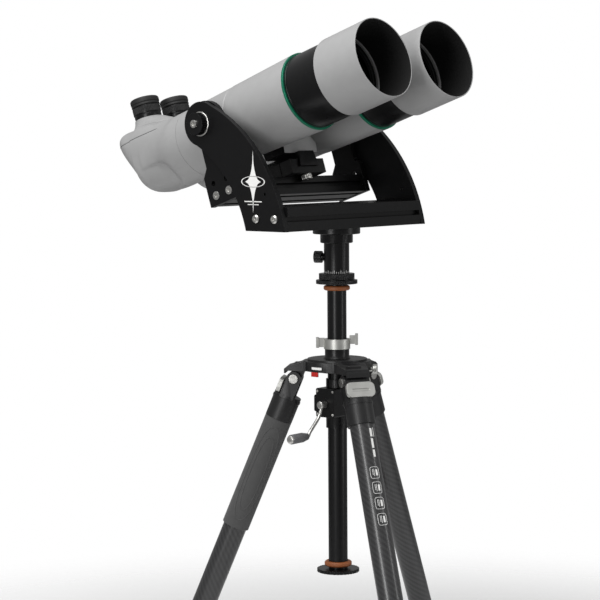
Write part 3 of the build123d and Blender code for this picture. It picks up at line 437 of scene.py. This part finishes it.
def dew_shield(side):
    """Hood: painted skin with a thin bright lip, and a ribbed matt lining inside it."""
    body = f"hood_{side}"
    shell = [(62.7, HOOD_BACK), (65.4, HOOD_BACK), (HOOD_R, HOOD_BACK + 0.8), (HOOD_R, HOOD_FRONT - 0.5),
             (65.5, HOOD_FRONT), (64.4, HOOD_FRONT), (64.4, HOOD_LAND), (62.7, HOOD_LAND - 2)]
    turned(f"hood_shell_{side}", shell, TUBE[side], ENAMEL, body, soft=0.45, steps=160,
           stands_for=(f"dew_shield_{side}",), slot="grey_paint")
    ribs = np.arange(HOOD_LAND + 1, HOOD_FRONT - 2, 2.0)
    inner = np.stack([63.85 + 0.25 * (np.arange(len(ribs)) % 2), ribs], 1)
    front = [(63.9, HOOD_FRONT - 0.9), (64.45, HOOD_FRONT - 0.7)]
    lining = np.vstack([[(64.45, HOOD_LAND - 1)], inner, front])
    turned(f"hood_lining_{side}", lining, TUBE[side], LINING, body, soft=0.15, steps=128)


# Bulb of the prism housing: (distance along the tube, limit) of its top, bottom, inner and outer sides.
BULB_TOP = np.array([(-118, 50), (-145, 60.5), (-175, 64.5), (-205, 71), (-240, 72), (-275, 71), (-287, 62)])
BULB_BOTTOM = np.array([(-118, -50), (-145, -54.5), (-205, -52), (-228, -46), (-245, -17), (-275, 33),
                        (-287, 52)])
BULB_INNER = np.array([(-118, 50), (-145, 61), (-190, 69), (-210, 71), (-287, 71)])
BULB_OUTER = np.array([(-118, -32), (-145, -38.5), (-175, -41.5), (-287, -41.5)])
# Power n of its section along the tube: 2 is an ellipse, more is squarer.
BULB_SQUARE = np.array([(-118, 2.0), (-150, 2.9), (-215, 2.9), (-245, 2.3), (-287, 2.2)])
PLAN_MIDDLE, PLAN_HALF, PLAN_TURN, BULB_REAR = 16.75, 54.25, -229.0, -287.0
SLEEVE_RADIUS, SLEEVE_START, HOUSING_BORE = 59.0, -99.4, 51.0
SEAM_HEIGHT = 46.0
# Turns in degrees about the tube, 0 towards the middle and 90 up, over which the outer side fades in and out.
OUTER_IN, OUTER_OUT = (60, 110), (194, 217)
# Dome below: where it starts, how much later it starts towards the middle and over which turns, its length.
DOME_START, DOME_LATER, DOME_TURNS, DOME_LENGTH = -128, 30, (228, 285), 34
# Outer side: share by which the sleeve is drawn in, and how far back it is drawn in and fades.
DRAW, DRAW_BACK, FADE_BACK = 0.36, (118, 212), (206, 238)
# Width of the rounding between sleeve and bulb: everywhere, more on the outer side, and where it starts.
CREASE, SOFTER, SOFT_IN, SOFT_OUT, CREASE_BACK = 3, 9, (80, 130), (190, 210), (112, 132)


def eased(x, points):
    """Smooth curve through the points: cubic pieces whose slopes average the runs beside them.

    Where the curve turns back, the slope at the point is 0, so it never passes beyond it.
    """
    xs, ys = points[np.argsort(points[:, 0])].T
    run = np.diff(ys) / np.diff(xs)
    inner_slope = np.where(run[:-1] * run[1:] > 0, (run[:-1] + run[1:]) / 2, 0)
    slope = np.concatenate([run[:1], inner_slope, run[-1:]])
    i = np.clip(np.searchsorted(xs, x) - 1, 0, len(xs) - 2)
    width = xs[i + 1] - xs[i]
    t = np.clip((x - xs[i]) / width, 0, 1)
    return ((1 + 2 * t) * (1 - t) ** 2 * ys[i] + t * (1 - t) ** 2 * width * slope[i]
            + t ** 2 * (3 - 2 * t) * ys[i + 1] - t ** 2 * (1 - t) * width * slope[i + 1])


def ramp(x, low, high):
    """Smooth step from 0 at low to 1 at high: 3t^2 - 2t^3."""
    t = np.clip((x - low) / (high - low), 0, 1)
    return t * t * (3 - 2 * t)


def bulb_limits(reach):
    """Middle, half sizes and power of the bulb's section, drawn in round the rear by an ellipse in plan."""
    lines = (BULB_TOP, BULB_BOTTOM, BULB_INNER, BULB_OUTER, BULB_SQUARE)
    top, bottom, inner, outer, square = [eased(reach, line) for line in lines]
    past = np.clip((PLAN_TURN - reach) / (PLAN_TURN - BULB_REAR), 0, 1)
    half = PLAN_HALF * np.sqrt(1 - past ** 2)
    inner = np.where(past > 0, np.minimum(inner, PLAN_MIDDLE + half), inner)
    outer = np.where(past > 0, np.maximum(outer, PLAN_MIDDLE - half), outer)
    middle = np.clip((top + bottom) / 2, 0, None)
    return (inner + outer) / 2, middle, (inner - outer) / 2, top - middle, middle - bottom, square


def housing_radius(reach, angle):
    """Distance from the section's middle to the housing's skin, with the middle it is measured from.

    The bulb is a superellipse, |x/a|^n + |w/b|^n = 1. Below, the sleeve is a cylinder that ends in
    a short dome, r = R sqrt(1 - ((start - u) / length)^2), so a crease is left where it meets the
    bulb. On the outer side it is drawn in slowly instead, r = R (1 - draw * ramp(u)), and fades to
    nothing inside the bulb. Which side a direction is on follows its turn about the tube's own axis,
    so the sleeve's distance is worked out again a few times. The skin is the larger of sleeve and
    bulb, raised by (k - gap)^2 / 4k where the gap between them is less than k.
    """
    x0, w0, half_x, half_up, half_down, square = bulb_limits(reach)
    c, s = np.cos(angle), np.sin(angle)
    half_w = np.where(s > 0, half_up, half_down)
    bulb = ((np.abs(c) / half_x) ** square + (np.abs(s) / half_w) ** square) ** (-1 / square)
    sleeve = SLEEVE_RADIUS + 0 * bulb
    for _ in range(6):
        turn = np.degrees(np.arctan2(w0 + sleeve * s, x0 + sleeve * c)) % 360
        outer_side = ramp(turn, *OUTER_IN) - ramp(turn, *OUTER_OUT)
        start = DOME_START - DOME_LATER * ramp(turn, *DOME_TURNS)
        dome = np.sqrt(np.clip(1 - (np.clip(start - reach, 0, None) / DOME_LENGTH) ** 2, 0, 1))
        drawn = (1 - DRAW * ramp(-reach, *DRAW_BACK)) * (1 - ramp(-reach, *FADE_BACK))
        radius = SLEEVE_RADIUS * (outer_side * drawn + (1 - outer_side) * dome)
        along = x0 * c + w0 * s
        inside = along ** 2 - x0 ** 2 - w0 ** 2 + radius ** 2
        sleeve = np.clip(np.where(inside > 0, np.sqrt(np.clip(inside, 0, None)) - along, 0), 0, 80)
    soft = ramp(turn, *SOFT_IN) - ramp(turn, *SOFT_OUT)
    width = (CREASE + SOFTER * soft) * ramp(-reach, *CREASE_BACK) + 0.001
    near = np.clip(width - np.abs(sleeve - bulb), 0, None) / width
    return np.maximum(sleeve, bulb) + near ** 2 * width / 4, x0, w0


def prism_housing(side):
    """Sleeve and bulb in one skin, its parting line, and the neck that flares down into its top."""
    sign, body, place = SIDES[side], f"head_{side}", TUBE[side]
    reach = np.concatenate([np.linspace(SLEEVE_START, -225, 90), -225 + (BULB_REAR + 0.02 + 225)
                            * np.sin(np.linspace(0.02, math.pi / 2, 56))])[:, None]
    angle = np.linspace(0, 2 * math.pi, 180, endpoint=False)[None, :]
    radius, x0, w0 = housing_radius(reach, angle)
    grid = np.stack([-sign * (x0 + radius * np.cos(angle)), w0 + radius * np.sin(angle),
                     reach + 0 * radius], -1)
    bore = np.stack([HOUSING_BORE * np.cos(angle), HOUSING_BORE * np.sin(angle),
                     SLEEVE_START + 0 * angle], -1)
    inner_end = bore - np.array([0, 0, 30])
    ends = [inner_end * np.array([0, 0, 1]), inner_end, bore, grid, 0 * grid[:1] + grid[-1].mean(0)]
    skin(f"prism_housing_skin_{side}", np.vstack(ends), place, ENAMEL, body, sharp=50,
         stands_for=(f"prism_housing_{side}",), slot="grey_paint")
    spigot = [(HOUSING_BORE, -105), (54, -105), (54, -85), (HOUSING_BORE, -85)]
    turned(f"housing_spigot_{side}", spigot, place, ANODISED, body)

    along = np.concatenate([np.linspace(-152, -270, 60), np.linspace(-270.5, BULB_REAR + 0.6, 30)])
    x0, w0, half_x, half_up, half_down, square = bulb_limits(along)
    height = np.abs(SEAM_HEIGHT - w0) / np.where(SEAM_HEIGHT > w0, half_up, half_down)
    within = height < 1
    x0, half_x, along = x0[within], half_x[within], along[within]
    share = (1 - height[within] ** square[within]) ** (1 / square[within])
    lines = [np.stack([-sign * (x0 + k * half_x * share), SEAM_HEIGHT + 0 * along, along], -1)
             for k in (-1, 1)]
    swept(f"parting_line_{side}", np.vstack([lines[0], lines[1][::-1]]), 0.5, place, GASKET, body,
          steps=8, rounds=0)

    # Neck: height, then how far it reaches to the middle, outwards, back and forwards.
    rows = np.array([(60, 20.2, 20.2, 20.2, 20.2), (92.5, 20.2, 20.2, 20.2, 20.2),
                     (92.5, 24.2, 24.2, 24.2, 24.6), (92.1, 24.8, 24.8, 24.8, 26),
                     (90, 25, 25.4, 25, 31), (87, 25.2, 26.6, 25, 38),
                     (83, 25.6, 28.6, 25.2, 46), (79, 26, 31.4, 25.6, 54), (75, 26.4, 35, 26, 62),
                     (71, 26.8, 39, 26.6, 69), (66, 27, 41, 27, 73), (58, 27, 40, 27, 72)])[:, :, None]
    turn = np.linspace(0, 2 * math.pi, 96, endpoint=False)[None]
    c, s = np.cos(turn), np.sin(turn)
    across = np.where(c > 0, rows[:, 2], rows[:, 1]) * c * sign
    neck = np.stack([across, -np.where(s > 0, rows[:, 4], rows[:, 3]) * s, rows[:, 0] + 0 * turn], -1)
    skin(f"eyepiece_neck_{side}", neck, eye_frame(side), ENAMEL, body, wrap=(True, True), sharp=50)


def eyepiece(side):
    """Focusing barrel with a finely ribbed band, its eye lens, and the rolled rubber eyecup."""
    place, body = eye_frame(side), f"ocular_{side}"
    barrel = [(15, 82.5), (19.9, 82.5), (19.9, 92.8), (23.6, 92.8), (24.1, 98.6), (23.2, 99.4), (23.2, 100.4),
              (24.0, 101), (24.2, 114.6), (21, 115), (21, 123.5), (20, 124.5), (13, 124.5), (13, 120.5),
              (15, 118.5)]
    turned(f"eyepiece_barrel_{side}", barrel, place, ANODISED, body, soft=0.3, steps=96,
           stands_for=(f"eyepiece_{side}",), slot="black_anodised")
    ribs = 60
    angle = np.linspace(0, 2 * math.pi, ribs * 6, endpoint=False)
    wave = 24.5 + 0.4 * np.clip(1.6 * np.sin(angle * ribs), -1, 1)
    rows = [(22.5 + 0 * wave, 101.8), (wave - 0.2, 102.2), (wave, 113.2), (22.5 + 0 * wave, 113.8)]
    grid = np.stack([np.stack([r * np.cos(angle), r * np.sin(angle), h + 0 * r], -1) for r, h in rows])
    skin(f"focus_grip_{side}", grid, place, RUBBER, body, wrap=(True, True), sharp=60)
    lens = [(0, 116.5), (13.6, 117), (13.6, 119.5), (9, 121.1), (4, 121.8), (0, 122)]
    turned(f"eye_lens_{side}", lens, place, EYE_GLASS, body, closed=False, soft=1.0, steps=64)
    cup = [(21.4, 115.2), (24.2, 115.2), (25.2, 116), (25.2, 118.2), (24.4, 119), (24.4, 120), (25.6, 121),
           (25.7, 127.4), (24.2, 129.6), (21.4, 129.6), (18.4, 127.6), (17.2, 125.2), (21.4, 125)]
    turned(f"rubber_eyecup_{side}", cup, place, RUBBER, f"cup_{side}", soft=0.8, steps=96,
           stands_for=(f"eyecup_{side}",), slot="black_rubber")


for side_name in SIDES:
    main_tube(side_name)
    front_collar(side_name)
    objective_lens(side_name)
    dew_shield(side_name)
    prism_housing(side_name)
    eyepiece(side_name)
# The bridge is enamelled, with bare black faces on its dovetail bar. Its side faces against the tubes are
# black as well: partly the bridge's own black side, partly painted shade where it sits between the tubes.
web = refined("bridge", ENAMEL, 1.5, 3, "grey_paint")
paint(web, ANODISED, basis(PIVOT, (1, 0, 0), UPWARD), (0, 90), (-95, -64))
# Partly painted shade: the side faces against the tubes take the black material for the shade between bridge
# and tubes.
for side_name in SIDES:
    paint(web, ANODISED, basis(PIVOT, (0, 0, 1), (SIDES[side_name], 0, 0)), (0, 90), (40, 42))


# --- Cradle, fork and azimuth bearing -----------------------------------------------------------
for plate_name in ("cradle_arm_left", "cradle_arm_right", "fork_arm_left", "fork_arm_right"):
    refined(plate_name, PLATE, 0.6, 2, "black_anodised")
for beam_name in ("cradle_beam", "fork_beam"):
    refined(beam_name, ANODISED, 0.4, 2, "black_anodised")
for block_name in ("saddle", "azimuth_base", "azimuth_hub", "azimuth_lock_knob", "column_foot"):
    refined(block_name, ANODISED, 0.4, 2, "black_anodised")
for screw_name in ("cradle_screws", "fork_screws", "leg_pivot_bolts", "saddle_knob"):
    refined(screw_name, STEEL, 0.25, 2, "bright_metal")


def knob_details(side):
    """Tilt knob with a bright skirt and a bright socket-head bolt."""
    place = basis(JOINTS[f"tilt_knob_{side}_turn"]["pos_m"], (0, 1, 0), (SIDES[side], 0, 0))
    place = moved(place, z=FORK_FACE - KNOB_SEAT)
    knob = refined(f"tilt_knob_{side}", ANODISED, 0.3, 2, "black_anodised")
    paint(knob, STEEL, place, (0, 6.7), (14.2, 18))
    skirt = [(18.0, 0.45), (20.2, 0.45), (20.2, 1.9), (19.2, 2.5), (18.0, 2.5)]
    turned(f"knob_skirt_{side}", skirt, place, STEEL, f"tilt_knob_{side}", soft=0.4)


def fork_emblem():
    """Plain printed ornament on one fork arm: a tall four-pointed star inside a thin ring, over two bars."""
    place = basis(PIVOT - np.array([FORK_FACE * MM, 0, 0]), (0, 1, 0), (-1, 0, 0))
    centre, steps, power = np.array([-117.0, 93.0]), 64, 0.55
    angle = np.linspace(0, 2 * math.pi, steps, endpoint=False)
    c, s = np.cos(angle), np.sin(angle)
    # The star is a superellipse with hollow sides: |cos|^p + |sin|^p = r^-p with p under 1.
    reach = 1 / (np.abs(c) ** power + np.abs(s) ** power) ** (1 / power)
    outline = centre + np.stack([17 * reach * c, 50 * reach * s], -1)
    hub = np.repeat(centre[None], steps, 0)
    star = [np.concatenate([xy, np.full((steps, 1), h)], -1)
            for xy, h in ((hub, -SUNK), (outline, -SUNK), (outline, PRINT_THICK), (hub, PRINT_THICK))]
    skin("printed_star", np.stack(star), place, INK, "fork", sharp=60)
    loop = np.stack([26 * c, 9 * s], -1)
    ring = [np.concatenate([centre + loop * k, np.full((steps, 1), h)], -1)
            for k, h in ((1, -SUNK), (1, PRINT_THICK), (0.92, PRINT_THICK), (0.92, -SUNK))]
    skin("printed_ring", np.stack(ring), place, INK, "fork", wrap=(True, True), sharp=60)
    places = (((-136, -98), (124, 125.6)), ((-129, -105), (129, 130.2)))
    bars = [flat_box(x, y, PRINT_THICK) for x, y in places]
    boxes("printed_bars", bars, place, INK, "fork")


for side_name in SIDES:
    knob_details(side_name)
fork_emblem()


# --- Column, gearing and crown ------------------------------------------------------------------
STAND_FINISHES = (
    ("centre_column", ANODISED, "black_anodised"),
    ("column_rack", STEEL, "bright_metal"),
    ("column_bumpers", BUMPER, "orange_rubber"),
    ("gearbox", ANODISED, "black_anodised"),
    ("pinion_shaft", STEEL, "bright_metal"),
    ("crank_grip", HANDLE, "grey_foam"),
    ("crown", CASTING, "black_anodised"),
    ("column_collar", ANODISED, "black_anodised"),
    ("column_lock_ring", CAST_ALLOY, "bright_metal"))
for part_name, finish, slot_name in STAND_FINISHES:
    refined(part_name, finish, 0.5, 2, slot_name)


def crank_bar():
    """Bent crank: a round hub on the gearbox, a smooth bar down to the grip, and the grip's bright cap."""
    hub = [(0, 20), (5, 20), (5, 34.6), (6.4, 35), (6.4, 48.6), (5.2, 50), (0, 50)]
    turned("crank_hub", hub, GEAR, STEEL, "crank", closed=False, soft=0.6, steps=48,
           stands_for=("crank_arm",), slot="bright_metal")
    path = [(0, 0, 44), (9, 0, 46), (20, 0, 51), (36, 0, 70), (43, 0, 78), (48, 0, 80), (48, 0, 90),
            (48, 0, 124)]
    swept("crank_bar", path, 2.9, GEAR, STEEL, "crank")
    cap = [(0, 127.6), (6.4, 127.6), (7.0, 128.4), (6.2, 130.2), (3.0, 131), (0, 131)]
    turned("grip_cap", cap, moved(GEAR, x=48.0), STEEL, "grip", closed=False, soft=0.5, steps=48)


def small_fittings():
    """Gearbox screws, the crown's plain plate, its red tab and the socket knob, and the hub's scale."""
    screw = [(0, -1), (2.1, -1), (2.1, 0.9), (1.7, 1.3), (1.1, 1.3), (1.1, 0.6), (0, 0.6)]
    for number, (x, y) in enumerate([(x, y) for x in (-21.5, 17.0) for y in (-15.5, 15.5)]):
        turned(f"gearbox_screw_{number}", screw, moved(GEAR, x, y, 34.0), STEEL, "tripod", closed=False,
               soft=0.15, steps=24)
    plate = [wrapped_box(56.6, 0.25, (turn, turn + 7), (-405.6, -401.6)) for turn in (173, 180, 187)]
    boxes("crown_plate", plate, COLUMN_AXIS, INK, "tripod")
    tab_blocks = [wrapped_box(55.0, 2.6, (turn, turn + 5), (-417.5, -409.8)) for turn in (172, 177, 182)]
    tab = boxes("red_tab", tab_blocks, COLUMN_AXIS, RED, "tripod")
    bevel = tab.modifiers.new("Edges", "BEVEL")
    bevel.width, bevel.segments = 0.8 * MM, 3
    azimuth = math.radians(304)
    outwards = np.array([math.cos(azimuth), math.sin(azimuth), 0])
    origin = COLUMN_AXIS[:3, 3] + (outwards * 52 + np.array([0, 0, -409.0])) * MM
    knob = [(0, 0), (4, 0), (4, 7), (8.0, 7.6), (8.6, 8.4), (8.6, 14.6), (7.8, 15.4), (5.4, 15.4),
            (4.6, 14.6), (0, 14.6)]
    turned("socket_knob", knob, basis(origin, (0, 0, 1), outwards), CAST_ALLOY, "tripod", closed=False,
           soft=0.4, steps=64)
    scale_foot = -248.2
    marks = [wrapped_box(21.1, PRINT_THICK, (turn - 1.0, turn + 1.0),
                         (scale_foot, scale_foot + (5.0 if turn % 30 == 0 else 2.8)))
             for turn in range(0, 360, 10)]
    boxes("hub_scale", marks, COLUMN_AXIS, INK, "fork")


crank_bar()
small_fittings()


# --- Legs ---------------------------------------------------------------------------------------
LEG_R = 20.0


def leg_tube(name, body, place, radius, bore, start, end, node_name):
    """Tube with a UV map for its weave: (radius times turn, height) in millimetres, unrolled face by face."""
    heights = np.array([start, start + 0.6, end - 0.6, end, end, start])
    radii = np.array([radius - 0.6, radius, radius, radius - 0.6, bore, bore])
    steps = 64
    angle = np.linspace(0, 2 * math.pi, steps, endpoint=False)
    grid = np.stack([radii[:, None] * np.cos(angle), radii[:, None] * np.sin(angle),
                     np.repeat(heights[:, None], steps, 1)], -1)
    piece = skin(name, grid, place, CARBON, body, wrap=(True, True), stands_for=(node_name,),
                 slot="carbon_tube")
    mesh = piece.data
    layer = mesh.uv_layers.new(name="Wrap")
    points = np.zeros(len(mesh.vertices) * 3)
    mesh.vertices.foreach_get("co", points)
    local = (points.reshape(-1, 3) - place[:3, 3]) @ place[:3, :3] / MM
    loops = np.zeros(len(mesh.loops), int)
    mesh.loops.foreach_get("vertex_index", loops)
    turn = np.arctan2(local[:, 1], local[:, 0])[loops]
    sizes = np.zeros(len(mesh.polygons), int)
    mesh.polygons.foreach_get("loop_total", sizes)
    owner = np.repeat(np.arange(len(sizes)), sizes)
    first = turn[np.concatenate([[0], np.cumsum(sizes)[:-1]])][owner]
    turn = turn + 2 * math.pi * np.round((first - turn) / (2 * math.pi))
    flat = np.stack([turn * radius, local[loops, 2]], 1)
    layer.data.foreach_set("uv", flat.reshape(-1).astype(np.float32))


for leg in LEGS:
    at = leg_frame(leg)
    refined(f"leg_knuckle_{leg}", CASTING, 0.8, 3, "black_anodised")
    refined(f"leg_catch_{leg}", CAST_ALLOY, 0.8, 3, "bright_metal")
    refined(f"leg_twist_lock_{leg}", RUBBER, 0.5, 2, "black_rubber")
    refined(f"leg_foot_{leg}", RUBBER, 1.0, 3, "black_rubber")
    leg_tube(f"carbon_upper_tube_{leg}", f"leg_{leg}", at, LEG_R, 17.8, 36.0, 560.0,
             f"leg_upper_tube_{leg}")
    leg_tube(f"carbon_lower_tube_{leg}", f"lower_leg_{leg}", at, 17.3, 15.1, 210.0, 622.0,
             f"leg_lower_tube_{leg}")


def sleeve_pattern():
    """Two nested ovals raised on the foam, on both sides of the sleeve: superellipses wrapped round it."""
    place = leg_frame("rear")
    towards = np.array(TO_VIEWER) @ place[:3, :3]
    facing = math.atan2(towards[1], towards[0])
    turn = np.linspace(0, 2 * math.pi, 96, endpoint=False)
    for number, (half, tall) in enumerate(((0.80, 84.0), (0.52, 66.0))):
        for flip in (0, 1):
            a = facing + flip * math.pi + half * np.sign(np.cos(turn)) * np.abs(np.cos(turn)) ** 0.8
            z = 172 + tall * np.sign(np.sin(turn)) * np.abs(np.sin(turn)) ** 0.8
            loop = np.stack([22.6 * np.cos(a), 22.6 * np.sin(a), z], -1)
            swept(f"sleeve_oval_{number}_{flip}", loop, 1.2, place, FOAM, "leg_rear", loop=True, steps=10)


def leg_print():
    """Plain bars and rounded frames printed on the front leg's tube: superellipses |cos|^p, |sin|^p."""
    place = leg_frame("front")
    bars = [((-21, -9), (83, 97)), ((-21, -9), (100, 116)), ((-21, -9), (119, 131)), ((-33, -29), (82, 97))]
    boxes("leg_print_bars", [wrapped_box(LEG_R, PRINT_THICK, turn, z) for turn, z in bars], place, INK,
          "leg_front")
    turn, power = np.linspace(0, 2 * math.pi, 48, endpoint=False), 0.4
    for number, middle in enumerate((157.0, 182.0, 207.5, 234.0)):
        a = np.radians(-1 + 22 * np.sign(np.cos(turn)) * np.abs(np.cos(turn)) ** power)
        z = middle + 9.5 * np.sign(np.sin(turn)) * np.abs(np.sin(turn)) ** power
        loop = np.stack([LEG_R * np.cos(a), LEG_R * np.sin(a), z], -1)
        swept(f"leg_print_frame_{number}", loop, 0.35, place, INK, "leg_front", loop=True, steps=6)
        strokes = (((-15, -5), (-5, 5)), ((2, 4), (-6, 6)), ((8, 10), (-6, 4)))
        mark = [wrapped_box(LEG_R, PRINT_THICK, across, (middle + low, middle + high))
                for across, (low, high) in strokes]
        boxes(f"leg_print_mark_{number}", mark, place, INK, "leg_front")


refined("leg_grip_sleeve", FOAM, 1.0, 3, "grey_foam")
sleeve_pattern()
leg_print()


# --- Stage, light and camera ----------------------------------------------------------------------
FLOOR_R = 1.6


def lamp(name, right, ahead, up, width, height, power):
    """Soft box placed from the tilt axis, to the camera's right, towards it and up, aimed at the object."""
    middle = Vector((COLUMN[0], COLUMN[1], PIVOT[2] - 0.1))
    across, towards = Vector(ACROSS_VIEW), Vector(TO_VIEWER)
    light = bpy.data.lights.new(name, "AREA")
    light.shape, light.size, light.size_y, light.energy = "RECTANGLE", width, height, power
    box = bpy.data.objects.new(name, light)
    box.location = middle + across * right + towards * ahead + Vector((0, 0, up))
    box.rotation_euler = (middle - box.location).to_track_quat("-Z", "Y").to_euler()
    bpy.context.scene.collection.objects.link(box)


def stage():
    """Pale round floor that fades into a white surround, with light mostly from above."""
    angle = np.linspace(0, 2 * math.pi, 96, endpoint=False)
    rim = np.stack([FLOOR_R * np.cos(angle), FLOOR_R * np.sin(angle), 0 * angle], -1)
    mesh = bpy.data.meshes.new("floor")
    mesh.from_pydata(rim.tolist(), [], [tuple(range(len(angle)))])
    floor = bpy.data.objects.new("floor", mesh)
    bpy.context.scene.collection.objects.link(floor)
    material, shader = new_material("studio_floor", "#f0f0f0", 0.9)
    from_middle = node(material, "TexCoord").outputs["Object"]
    away = node(material, "VectorMath", {"operation": "LENGTH"}, _0=from_middle).outputs["Value"]
    fade = node(material, "MapRange", {"interpolation_type": "SMOOTHSTEP"}, Value=away, From_Min=0.7,
                From_Max=1.5, To_Min=1.0, To_Max=0.0)
    material.node_tree.links.new(fade.outputs["Result"], shader.inputs["Alpha"])
    mesh.materials.append(material)

    world = bpy.data.worlds.new("studio")
    world.use_nodes = True
    background = world.node_tree.nodes["Background"]
    background.inputs["Color"].default_value = (1, 1, 1, 1)
    parts = node(world, "SeparateXYZ", Vector=node(world, "TexCoord").outputs["Generated"])
    dome = node(world, "MapRange", Value=parts.outputs["Z"], From_Min=-0.5, From_Max=0.9, To_Min=0.20,
                To_Max=0.50)
    seen = node(world, "LightPath").outputs["Is Camera Ray"]
    strength = node(world, "Math", {"operation": "MAXIMUM"}, _0=seen, _1=dome.outputs["Result"])
    world.node_tree.links.new(strength.outputs[0], background.inputs["Strength"])
    bpy.context.scene.world = world
    lamp("overhead", -0.6, 0.7, 1.9, 1.8, 1.8, 46.0)
    lamp("right_strip", 1.7, 0.6, 0.1, 0.3, 1.8, 6.0)
    lamp("front_panel", -1.1, 2.0, 0.2, 0.6, 1.6, 22.0)


def camera():
    """Long lens, a little above the tilt axis, in front and to the right-hand tube's side."""
    azimuth, distance, rise = math.radians(-49.092), 3.58206, -0.00093
    yaw, pitch, roll = azimuth + math.radians(0.981), math.radians(4.666), math.radians(-0.376)
    position = Vector((COLUMN[0] + math.sin(azimuth) * distance, COLUMN[1] - math.cos(azimuth) * distance,
                       PIVOT[2] + rise))
    ahead = Vector((-math.sin(yaw) * math.cos(pitch), math.cos(yaw) * math.cos(pitch), -math.sin(pitch)))
    right = Vector((math.cos(yaw), math.sin(yaw), 0))
    up = right.cross(ahead)
    right, up = right * math.cos(roll) + up * math.sin(roll), up * math.cos(roll) - right * math.sin(roll)
    lens = bpy.data.cameras.new("camera")
    lens.sensor_width, lens.lens, lens.clip_end = 36.0, 129.49, 100.0
    view = bpy.data.objects.new("camera", lens)
    view.matrix_world = Matrix((
        (right.x, up.x, -ahead.x, position.x), (right.y, up.y, -ahead.y, position.y),
        (right.z, up.z, -ahead.z, position.z), (0, 0, 0, 1)))
    bpy.context.scene.collection.objects.link(view)
    bpy.context.scene.camera = view


stage()
camera()
bpy.context.scene.view_settings.view_transform = "Standard"
